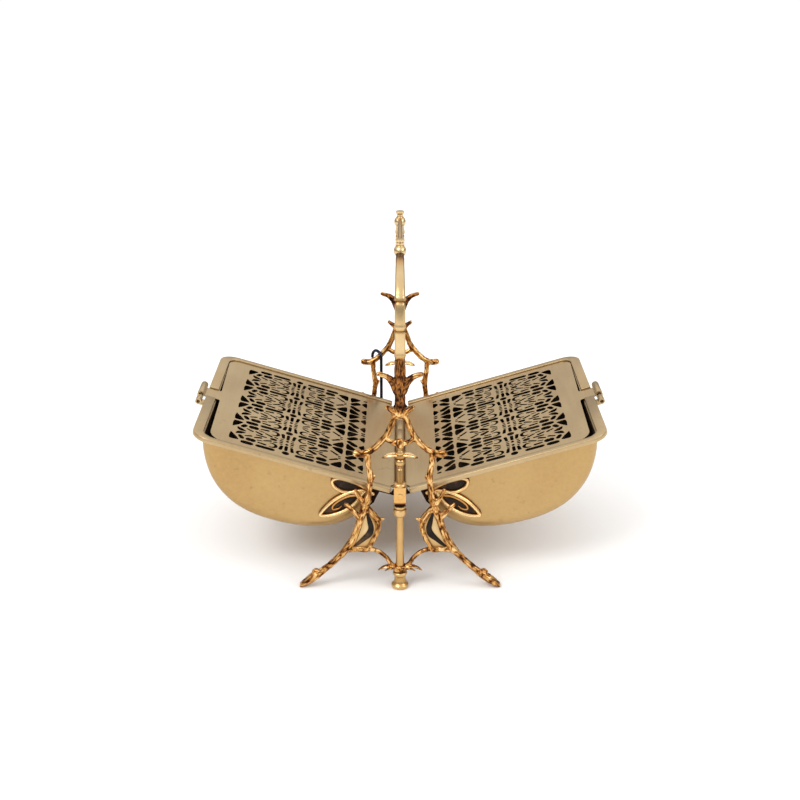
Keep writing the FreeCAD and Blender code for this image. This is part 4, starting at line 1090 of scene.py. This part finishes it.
def leaf_plate():
    return soften(tidy(mesh_from("leaf", *box_solid((1.0, -75, -5.2), (9.4, 75, -4.2)))), 0.2)


for hand in HANDS:
    one = barrel()
    base = new_object("leaf", leaf_plate())
    mesh = run_tree(COPIES, base, {"Piece": one, "Count": 4, "First": (0, -4 * BARREL_PITCH, 0),
                                   "Step": (0, 2 * BARREL_PITCH, 0), "Finish": FINISHES["lid_brass"]})
    for helper in (one, base):
        bpy.data.objects.remove(helper)
    seat(hand + "_hinge_barrels", mesh, bucket_place(hand), hand + "_lid_body", "lid_brass",
         [hand + "_lid_hinge"])

# %% [markdown]
# The lids are the showpiece: sheet brass pierced with a repeating strapwork of slots, drops,
# crescents and fans. One motif is drawn as half a set of small closed outlines, to be mirrored
# about its middle, and a few that lie on the middle or on the seam between two motifs.

# %% Outlines for piercing
def turned_about(points, centre, degrees):
    """Points drawn about the origin, turned and moved to their place on the sheet."""
    c, s = math.cos(math.radians(degrees)), math.sin(math.radians(degrees))
    return [(centre[0] + x * c - y * s, centre[1] + x * s + y * c) for x, y in points]


def slot(u, v, length, width, turn=0.0, taper=1.0):
    """A slot with round ends; taper below 1 makes the far end narrower."""
    big = width / 2
    half, small = length / 2, big * (0.35 + 0.65 * taper)
    outline = [(half - small + small * math.cos(a), small * math.sin(a)) for a in np.linspace(-1.4, 1.4, 5)]
    outline += [(-half + big - big * math.cos(a), big * math.sin(a)) for a in np.linspace(1.4, -1.4, 5)]
    return turned_about(outline, (u, v), turn)


def wedge(*corners):
    """A three-cornered hole with swollen sides and round corners."""
    middle = np.mean(corners, axis=0)
    outline = []
    for i, corner in enumerate(corners):
        here, there = np.array(corner), np.array(corners[(i + 1) % len(corners)])
        for share in (0.0, 0.12, 0.32, 0.5, 0.68, 0.88):
            point = here + (there - here) * share
            away = (point - middle) / np.linalg.norm(point - middle)
            swell = -0.5 if share == 0 else 0.5 * math.sin(math.pi * share)
            outline.append(tuple(point + away * swell))
    return outline


def crescent(u, v, radius, width, start, stop):
    """A bent slot that is fullest in the middle."""
    angles = np.radians(np.linspace(start, stop, 9))
    swell = [0.3 + 0.7 * math.sin(math.pi * i / 8) for i in range(9)]
    outer = [(u + (radius + width / 2 * s) * math.cos(a), v + (radius + width / 2 * s) * math.sin(a))
             for a, s in zip(angles, swell)]
    inner = [(u + (radius - width / 2 * s) * math.cos(a), v + (radius - width / 2 * s) * math.sin(a))
             for a, s in zip(angles, swell)]
    return outer + inner[::-1]


def club(u, v, length, width):
    """A double-lobed hole: a waisted slot."""
    return [(u + length / 2 * math.cos(a),
             v + width / 2 * math.sin(a) * (1.12 - 0.34 * math.exp(-(math.cos(a) / 0.35) ** 2)))
            for a in np.linspace(0, 2 * math.pi, 17)[:-1]]


HALF_MOTIF = [
    wedge((126.4, 1.2), (126.4, 13.0), (119.0, 2.0)),
    wedge((122.6, 11.4), (121.0, 16.6), (115.4, 16.2)),
    slot(118.2, 7.8, 4.6, 1.6, 62, 0.6), club(110.9, 6.6, 7.2, 5.2), slot(113.2, 12.4, 6.2, 2.1, -28, 0.5),
    slot(102.6, 5.4, 6.8, 2.3, 8, 0.6), slot(106.2, 13.6, 6.6, 2.4, -26, 0.6),
    slot(99.0, 12.6, 7.2, 2.3, -30, 0.6), slot(104.6, 9.5, 4.6, 1.5, -12),
    crescent(95.6, 7.2, 3.4, 2.4, 60, 300), slot(93.4, 13.8, 3.6, 1.8, -30),
    slot(88.6, 7.4, 8.0, 2.9, 98, 0.7), slot(84.8, 8.0, 7.6, 1.5, 90), slot(84.8, 14.8, 2.4, 1.5, 90),
    slot(89.0, 13.1, 2.6, 1.5, 12), slot(89.2, 16.2, 2.2, 1.3, 0),
    slot(80.4, 7.4, 8.2, 2.7, 82, 0.7), slot(81.2, 13.1, 2.6, 1.5, -12), slot(81.0, 16.2, 2.2, 1.3, 0),
    crescent(73.2, 7.0, 3.3, 2.0, -120, 130), slot(67.0, 5.0, 6.4, 2.2, -6, 0.6),
    slot(67.6, 8.8, 5.6, 2.0, -10, 0.6), slot(73.0, 14.2, 6.6, 2.0, 32, 0.6),
    slot(65.6, 14.0, 6.4, 2.2, 34, 0.6), club(58.4, 6.2, 6.8, 4.6), slot(57.6, 13.6, 7.4, 2.5, 30, 0.5),
    wedge((44.0, 1.0), (44.0, 10.8), (51.6, 2.2)), slot(49.4, 12.0, 8.4, 2.5, -40, 0.6),
    slot(45.3, 16.2, 2.4, 1.8),
    wedge((40.4, 1.0), (40.4, 10.8), (32.6, 1.8)), wedge((27.4, 4.4), (27.4, 15.2), (31.8, 9.6)),
    slot(36.8, 12.8, 7.8, 2.4, 44, 0.7), slot(28.7, 1.7, 2.6, 1.4)]
MOTIF_LENGTH = 35.3
SEAM = MOTIF_LENGTH / 2
MIDDLE = [slot(99.6, 0, 13.4, 3.0), slot(70.6, 0, 13.4, 3.0), slot(113.0, 0, 6.4, 1.6),
          slot(57.0, 0, 7.4, 1.6), slot(104.2, SEAM, 8.0, 1.4), slot(95.0, SEAM, 3.0, 1.4),
          slot(61.8, SEAM, 8.0, 1.4), slot(73.6, SEAM, 5.0, 1.3),
          [(84.6 + 1.7 * math.cos(a), 1.7 * math.sin(a)) for a in np.linspace(0, 2 * math.pi, 13)[:-1]]]
FIELD_HALF = 2 * MOTIF_LENGTH
print("one motif has", 2 * len(HALF_MOTIF) + len(MIDDLE), "holes")

# %% [markdown]
# On the real sheet the bars between the holes are of one even width, since it is the bars that
# the piercer looks at. So the outlines above are only seeds: every hole is widened a tenth of a
# millimetre at a time until a bar's width is left to its neighbours, in this motif, in its
# mirror image and in the motifs above and below.

# %% Widening the holes to an even bar
BAR_WIDTH, MOST_WIDER, WIDER_STEP = 0.9, 1.7, 0.1


def walked(outline, spacing=0.45):
    """Points at an even, close spacing along a closed outline."""
    points = []
    for here, there in zip(outline, np.roll(outline, -1, axis=0)):
        count = max(1, int(np.linalg.norm(there - here) / spacing))
        points += [here + (there - here) * k / count for k in range(count)]
    return np.array(points)


def wider(outline, step):
    """The outline with every point moved outwards by one step."""
    ahead, behind = np.roll(outline, -1, axis=0), np.roll(outline, 1, axis=0)
    along = (ahead - behind) / (np.linalg.norm(ahead - behind, axis=1)[:, None] + 1e-9)
    area = np.sum(outline[:, 0] * ahead[:, 1] - ahead[:, 0] * outline[:, 1])
    return outline + np.column_stack([along[:, 1], -along[:, 0]]) * math.copysign(step, area)


def neighbours(shapes, halves, skip):
    """Every other hole near this one, with mirror images and the motifs on both sides."""
    mirror, repeat = np.array([1, -1]), np.array([0, MOTIF_LENGTH])
    around = []
    for k, shape in enumerate(shapes):
        rest = walked(shape)
        around += [rest - repeat, rest + repeat] if k != skip or k >= halves else []
        around += [rest] if k != skip else []
        if k < halves:
            around += [rest * mirror, rest * mirror - repeat, rest * mirror + repeat]
    return np.concatenate(around)


def widened(half, middle):
    """Both lists of outlines, each grown as far as its neighbours let it."""
    shapes = [np.array(outline) for outline in half + middle]
    low, high = min(s[:, 0].min() for s in shapes), max(s[:, 0].max() for s in shapes)
    growing = set(range(len(shapes)))
    for _ in range(round(MOST_WIDER / WIDER_STEP)):
        for k in sorted(growing):
            trial = wider(shapes[k], WIDER_STEP)
            path = walked(trial)
            others = neighbours(shapes, len(half), k)
            close = others[np.all((others > path.min(axis=0) - 2) & (others < path.max(axis=0) + 2), axis=1)]
            gap = np.sqrt(((path[:, None] - close[None]) ** 2).sum(axis=2)).min() if len(close) else 9.0
            if gap < BAR_WIDTH or path[:, 0].min() < low - 0.01 or path[:, 0].max() > high + 0.01:
                growing.discard(k)
            else:
                shapes[k] = trial
    return shapes[:len(half)], shapes[len(half):]


HALF_HOLES, MIDDLE_HOLES = widened(HALF_MOTIF, MIDDLE)
print("holes are widened until %.1f is left between them" % BAR_WIDTH)

# %% [markdown]
# The drawing has to reach Geometry Nodes in a form they can cut with. A mesh of edges would do,
# but a curve is better here: Fill Curve turns closed curves into a sheet with holes in one
# step. So the outlines become one curve object, flat in the plane of the sheet.

# %% Outlines as curves
def drawn_curve(name, outlines):
    """Closed outlines as one curve object."""
    curve = bpy.data.curves.new(name, "CURVE")
    curve.dimensions = "3D"
    for outline in outlines:
        spline = curve.splines.new("POLY")
        spline.points.add(len(outline) - 1)
        for point, (u, v) in zip(spline.points, outline):
            point.co = (u, v, 0, 1)
        spline.use_cyclic_u = True
    thing = bpy.data.objects.new(name, curve)
    collection.objects.link(thing)
    return thing


def mirrored(outlines):
    return [[(u, -v) for u, v in outline] for outline in outlines]


print("drawn holes:", len(mirrored(HALF_HOLES)) * 2 + len(MIDDLE_HOLES))

# %% [markdown]
# A piercer saws the holes out of sheet brass one by one. A Boolean for each hole would copy
# that, but so many of them are slow and leave broken faces. This second tree goes the other way
# round: it repeats the motif along the lid, drops what would run past the field, fills the
# sheet round the holes and only then gives it its thickness. The walls of the holes, and every
# other face that stands upright, get the dark finish.

# %% The tree that pierces a sheet
def pierced_sheet():
    tree, start, end = tree_with("pierced sheet", [
        ("Motif", "Object"), ("Motif Length", "Float"), ("Field Half", "Float"),
        ("Thickness", "Float"), ("Finish", "Material"), ("Cut Finish", "Material")])
    given = start.outputs
    back = add(tree, "ShaderNodeMath", {"operation": "MULTIPLY"})
    tree.links.new(given["Motif Length"], back.inputs[0])
    back.inputs[1].default_value = -2.0
    first = add(tree, "ShaderNodeCombineXYZ", None, Y=back.outputs[0])
    step = add(tree, "ShaderNodeCombineXYZ", None, Y=given["Motif Length"])
    line = add(tree, "GeometryNodeMeshLine", {"mode": "OFFSET"}, Count=5,
               Start_Location=first.outputs[0], Offset=step.outputs[0])
    motif = add(tree, "GeometryNodeObjectInfo", None, Object=given["Motif"])
    copies = add(tree, "GeometryNodeInstanceOnPoints", None, Points=line.outputs["Mesh"],
                 Instance=motif.outputs["Geometry"])
    holes = add(tree, "GeometryNodeRealizeInstances", None, Geometry=copies.outputs[0])
    where = add(tree, "GeometryNodeInputPosition")
    axes = add(tree, "ShaderNodeSeparateXYZ", None, Vector=where.outputs[0])
    middle = add(tree, "GeometryNodeFieldOnDomain", {"data_type": "FLOAT", "domain": "CURVE"},
                 Value=axes.outputs["Y"])
    size = add(tree, "ShaderNodeMath", {"operation": "ABSOLUTE"}, Value=middle.outputs[0])
    past = add(tree, "FunctionNodeCompare", {"data_type": "FLOAT", "operation": "GREATER_THAN"},
               A=size.outputs[0], B=given["Field Half"])
    kept = add(tree, "GeometryNodeDeleteGeometry", {"domain": "CURVE"}, Geometry=holes.outputs[0],
               Selection=past.outputs[0])
    flat = add(tree, "GeometryNodeJoinGeometry", None, Geometry=[kept.outputs[0], given["Geometry"]])
    fill = add(tree, "GeometryNodeFillCurve", {"mode": "TRIANGLES"}, Curve=flat.outputs[0])
    top = add(tree, "GeometryNodeExtrudeMesh", {"mode": "FACES"}, Mesh=fill.outputs[0], Individual=False,
              Offset_Scale=given["Thickness"])
    faced = add(tree, "GeometryNodeSetMaterial", None, Geometry=top.outputs[0], Material=given["Finish"])
    under = add(tree, "GeometryNodeFlipFaces", None, Mesh=fill.outputs[0])
    backed = add(tree, "GeometryNodeSetMaterial", None, Geometry=under.outputs[0], Material=given["Finish"])
    closed = add(tree, "GeometryNodeJoinGeometry", None, Geometry=[faced.outputs[0], backed.outputs[0]])
    welded = add(tree, "GeometryNodeMergeByDistance", None, Geometry=closed.outputs[0], Distance=0.003)
    real = add(tree, "GeometryNodeRealizeInstances", None, Geometry=welded.outputs[0])
    slope = add(tree, "GeometryNodeInputNormal")
    lean = add(tree, "ShaderNodeSeparateXYZ", None, Vector=slope.outputs[0])
    level = add(tree, "ShaderNodeMath", {"operation": "ABSOLUTE"}, Value=lean.outputs["Z"])
    cut = add(tree, "FunctionNodeCompare", {"data_type": "FLOAT", "operation": "LESS_THAN"},
              A=level.outputs[0], B=0.5)
    done = add(tree, "GeometryNodeSetMaterial", None, Geometry=real.outputs[0], Selection=cut.outputs[0],
               Material=given["Cut Finish"])
    tree.links.new(done.outputs[0], end.inputs[0])
    return tree


PIERCED = pierced_sheet()
print("tree inputs:", [item.name for item in PIERCED.interface.items_tree])

# %% [markdown]
# The lid is a rounded oblong with a tab in the middle of its outer edge, which reaches over the
# rim to the roll at its end. A bevelled box would give the corners, but the tree needs a closed
# line, so the corners are worked out as arcs. The two lids are mirror images.

# %% Lid outline and the two lids
LID_INNER, LID_OUTER, LID_HALF, LID_CORNER = 3.4, 141.0, 79.4, 9.0
TAB_HALF, TAB_END = 8.2, 154.0
LID_UNDER, LID_THICK = -3.9, 0.7


def round_corner(u, v, radius, start):
    return [(u + radius * math.cos(a), v + radius * math.sin(a))
            for a in np.radians(np.linspace(start, start + 90, 10))]


def lid_outline(side):
    """A rounded oblong with the tab that reaches over the rim.

    The lid is trimmed so that it stands clear of the rim at its front outer corner and
    closes on it towards the back, so the gap beyond the lid is a long wedge.
    """
    edge = LID_HALF - LID_CORNER
    low_u = LID_INNER + LID_CORNER
    front_u, front_corner, back_u = LID_OUTER - 1.0, 13.0, LID_OUTER + 3.0
    tab = [(LID_OUTER + 0.2, -TAB_HALF - 1.8), (LID_OUTER + 0.7, -TAB_HALF - 0.5),
           (LID_OUTER + 1.8, -TAB_HALF),
           (TAB_END, -TAB_HALF), (TAB_END, TAB_HALF), (LID_OUTER + 2.6, TAB_HALF),
           (LID_OUTER + 1.6, TAB_HALF + 0.5), (LID_OUTER + 1.3, TAB_HALF + 1.8)]
    outline = round_corner(low_u, -edge, LID_CORNER, 180)
    outline += round_corner(front_u - front_corner, front_corner - LID_HALF, front_corner, 270) + tab
    outline += round_corner(back_u - LID_CORNER, edge, LID_CORNER, 0)
    outline += round_corner(low_u, edge, LID_CORNER, 90)
    return [(u, side * v) for u, v in outline][::side]


for hand in HANDS:
    base = drawn_curve("lid_outline", [lid_outline(HANDS[hand])])
    motif = drawn_curve("motif", HALF_HOLES + mirrored(HALF_HOLES) + MIDDLE_HOLES)
    mesh = run_tree(PIERCED, base, {"Motif": motif, "Motif Length": MOTIF_LENGTH,
                                    "Field Half": FIELD_HALF + 0.5, "Thickness": LID_THICK,
                                    "Finish": FINISHES["lid_brass"],
                                    "Cut Finish": FINISHES["dark_inside"]})
    for helper in (base, motif):
        bpy.data.objects.remove(helper)
    tidy(mesh, weld=0.001)
    low = min(v.co.z for v in mesh.vertices)
    print("  lid sheet is %.2f thick" % (max(v.co.z for v in mesh.vertices) - low))
    lift = LID_UNDER - low
    seat(hand + "_pierced_lid", mesh, bucket_place(hand) @ Matrix.Translation((0, 0, lift)),
         hand + "_lid_body", "lid_brass", [hand + "_lid"], sharp=30)

# %% [markdown]
# At both ends of each bucket a scroll is soldered round the ears: a rounded loop above and a
# pointed leaf below. Each is a raised border round a hollow, so it is built as a half-round band
# bent along the outline with a thin plate inside it. The band is painted lighter towards its top,
# as a highlight, and darker at its foot, as shade, and the plate is painted dark as the shade in
# the hollow. A small curl of thinner rod lies in the hollow of the lower leaf.

# %% Scroll ornaments
UPPER_LOOP = [(20.4, -9.4), (24.6, -7.8), (30, -6.6), (38, -6.2), (44.4, -6.8), (47.4, -9.8),
              (44.6, -13.8), (38.4, -15.6), (31, -14.2), (24.8, -12.2)]
LOWER_LOOP = [(24.0, -10.6), (33, -14.8), (41.2, -22.8), (46.2, -31), (48.4, -38.2), (41.6, -36.4),
              (34.2, -31.2), (28, -23.4), (24.8, -15.6)]
INNER_CURL = [(27.0, -15.4, 1.0), (33.4, -18.4, 1.0), (38.6, -23.4, 0.95), (41.6, -28.6, 0.85),
              (40.8, -31.4, 0.75), (37.4, -29.8, 0.6), (35.6, -27.0, 0.35)]


def closed_line(outline, spacing=0.7):
    """A smooth closed curve through (out, up) rows."""
    rows = outline[-2:] + outline + outline[:2]
    line = smooth_stations([(u, w, 0) for u, w in rows], spacing)[:, :2]
    first = np.argmin(np.linalg.norm(line[:len(line) // 3] - outline[0], axis=1))
    last = len(line) - 1 - np.argmin(np.linalg.norm(line[::-1][:len(line) // 3] - outline[0], axis=1))
    return line[first:last]


def raised_loop(outline, wall, sign, radius, height):
    """The border: a half-round band that stands on the end wall."""
    line = closed_line(outline)
    tangent = np.roll(line, -1, axis=0) - np.roll(line, 1, axis=0)
    tangent /= np.linalg.norm(tangent, axis=1)[:, None]
    normal = np.column_stack([-tangent[:, 1], tangent[:, 0]])
    section = [(-1.0, 0.0), (-1.0, 0.35), (-0.78, 0.78), (-0.3, 1.0), (0.3, 1.0), (0.78, 0.78), (1.0, 0.35),
               (1.0, 0.0)]
    points, faces, size = [], [], len(section)
    for here, out in zip(line, normal):
        for across, up in section:
            u, w = here + out * across * radius
            points.append((u, sign * (wall + up * height), w))
    count = len(line)
    for i in range(count):
        for k in range(size):
            a, b = i * size + k, i * size + (k + 1) % size
            c, d = ((i + 1) % count) * size + (k + 1) % size, ((i + 1) % count) * size + k
            faces.append((a, b, c, d))
    return points, faces


def hollow_plate(outline, wall, sign, height=0.5):
    """The floor inside a border, painted dark as shade."""
    line = closed_line(outline, 1.4)
    size = len(line)
    points = [(u, sign * wall, w) for u, w in line] + [(u, sign * (wall + height), w) for u, w in line]
    faces = [tuple(range(size)), tuple(range(size, 2 * size))]
    faces += [(k, (k + 1) % size, size + (k + 1) % size, size + k) for k in range(size)]
    return points, faces


for hand in HANDS:
    for end, world_sign in ENDS.items():
        sign = world_sign * HANDS[hand]
        wall = SHELL_HALF
        curl = smooth_stations([(u, sign * (wall + 1.0), w, radius) for u, w, radius in INNER_CURL], 0.6)
        borders = [raised_loop(UPPER_LOOP, wall, sign, 1.4, 2.6),
                   raised_loop(LOWER_LOOP, wall, sign, 1.45, 2.9), rod(curl, sides=10, dome=2)]
        mesh = tidy(mesh_from("border", *joined(borders)))
        # Painted light: the border is lighter the higher it stands off the wall and dark at its foot, as
        # shade.
        set_wear_and_painted_light(mesh, [0.12 + 0.32 * (abs(v.co.y) - wall) for v in mesh.vertices])
        seat("%s_%s_scroll" % (hand, end), mesh, bucket_place(hand), hand + "_bucket", "cast_brass",
             ["%s_%s_ornament" % (hand, end)], sharp=50)
        # Plates painted dark as the shade in the hollows.
        plates = [hollow_plate(UPPER_LOOP, wall, sign), hollow_plate(LOWER_LOOP, wall, sign)]
        dark = tidy(mesh_from("hollow", *joined(plates)))
        seat("%s_%s_hollow" % (hand, end), dark, bucket_place(hand), hand + "_bucket", "cast_brass",
             finish="dark_inside")

# %% [markdown]
# A hook of blued steel wire hangs over a bowed twig of the back frame, as if to hold the box
# shut when it is carried. It is one wire: a short tail behind, bent to one side, a turn over
# the twig and a long shank. The turn is wide enough for the hook to swing a little.

# %% Wire hook
HOOK_X, HOOK_Z, HOOK_BEND = -15.6, 112.0, 4.3
TAIL_SPREAD, HOOK_WIRE_RADIUS = 3.4, 1.25


def hook_rows():
    """Tail behind the twig and to its left, over the top, and down in front."""
    rows = [(HOOK_X - 2.2 * TAIL_SPREAD, FRAME_OFFSET + 3.4, HOOK_Z - 3.0),
            (HOOK_X - 2.1 * TAIL_SPREAD, FRAME_OFFSET + HOOK_BEND - 0.6, HOOK_Z - 0.6)]
    for a in np.radians(np.linspace(35, 170, 6)):
        share = (1 + math.cos(a)) / 2
        rows.append((HOOK_X - 2 * TAIL_SPREAD * share, FRAME_OFFSET + HOOK_BEND * math.cos(a),
                     HOOK_Z - 1.2 + HOOK_BEND * math.sin(a)))
    rows += [(HOOK_X, FRAME_OFFSET - HOOK_BEND, HOOK_Z - drop) for drop in (5, 15, 27, 39)]
    return rows


hook_line = smooth_stations([(*row, HOOK_WIRE_RADIUS) for row in hook_rows()], 0.6)
hook = tidy(mesh_from("hook", *rod(hook_line, sides=12, dome=2)))
seat("wire_hook_bent", hook, Matrix.Identity(4), "wire_hook", "hook_steel", ["hook"], sharp=80)

# %% [markdown]
# The setting is a pale studio: a white floor, a large soft lamp from the left front and a
# weaker one from the right. Brass shows what it reflects, so the sky is bright overhead and
# dark near the ground, which draws the long dark edges that polished metal needs. A panorama
# of a real studio could do the same, but three grey steps are enough and need no other file.
# Behind the object the picture has a plain pale backdrop instead of that sky.

# %% Floor and light
FLOOR_HALF, FLOOR_WHITE, BACKDROP_WHITE, SKY_STRENGTH = 6.0, 0.93, 0.84, 1.2
SKY_STEPS = ((0.0, 0.10), (0.18, 0.22), (0.42, 1.0))


def studio_floor():
    paint = Finish("floor_paint", Roughness=0.9, Base_Color=rgba(*[FLOOR_WHITE] * 3))
    corners = [(x * FLOOR_HALF, y * FLOOR_HALF, 0) for x, y in ((-1, -1), (1, -1), (1, 1), (-1, 1))]
    mesh = mesh_from("floor", corners, [(0, 1, 2, 3)])
    mesh.materials.append(paint.material)
    floor = new_object("floor", mesh)


def soft_lamp(name, place, aim, size, power):
    """A round soft box, turned towards the object."""
    lamp = bpy.data.lights.new(name, "AREA")
    lamp.shape, lamp.size, lamp.energy = "DISK", size, power
    thing = bpy.data.objects.new(name, lamp)
    thing.location = place
    thing.rotation_euler = (Vector(aim) - Vector(place)).to_track_quat("-Z", "Y").to_euler()
    collection.objects.link(thing)


studio_floor()
world = bpy.data.worlds.new("studio")
world.use_nodes = True
tree = world.node_tree
sky = tree.nodes["Background"]
ways = tree.nodes.new("ShaderNodeTexCoord")
axes = tree.nodes.new("ShaderNodeSeparateXYZ")
ramp = tree.nodes.new("ShaderNodeValToRGB")
for position, grey in SKY_STEPS:
    stop = ramp.color_ramp.elements.new(position)
    stop.color = rgba(grey, grey, grey)
ramp.color_ramp.elements.remove(ramp.color_ramp.elements[0])
tree.links.new(ways.outputs["Generated"], axes.inputs[0])
tree.links.new(axes.outputs["Z"], ramp.inputs["Fac"])
seen = tree.nodes.new("ShaderNodeLightPath")
backdrop = tree.nodes.new("ShaderNodeMix")
backdrop.data_type = "RGBA"
backdrop.inputs[7].default_value = rgba(*[BACKDROP_WHITE] * 3)
tree.links.new(seen.outputs["Is Camera Ray"], backdrop.inputs[0])
tree.links.new(ramp.outputs["Color"], backdrop.inputs[6])
tree.links.new(backdrop.outputs[2], sky.inputs["Color"])
sky.inputs["Strength"].default_value = SKY_STRENGTH
bpy.context.scene.world = world
soft_lamp("key", (-0.9, -1.1, 1.5), (0, 0, 0.1), 0.9, 16)
soft_lamp("fill", (1.3, -0.7, 1.0), (0, 0, 0.1), 0.8, 6)
bpy.context.scene.view_settings.view_transform = "Standard"
print("lamps: key and fill")

# %% [markdown]
# The camera stands in front of the object, square to it and a little above, and looks down at
# the middle of its height, so that the tops of both lids show. It could track a target, but a
# fixed place and tilt say plainly where it is.

# %% Camera
CAMERA_PLACE, CAMERA_DIP, CAMERA_LENS, CAMERA_SENSOR = (0, -0.8871, 0.4601), 21.63, 56.25, 36.0
camera_data = bpy.data.cameras.new("camera")
camera_data.lens, camera_data.sensor_width = CAMERA_LENS, CAMERA_SENSOR
camera = bpy.data.objects.new("camera", camera_data)
camera.location = CAMERA_PLACE
camera.rotation_euler = (math.radians(90 - CAMERA_DIP), 0, 0)
collection.objects.link(camera)
bpy.context.scene.camera = camera
print("camera looks down by", CAMERA_DIP, "degrees")
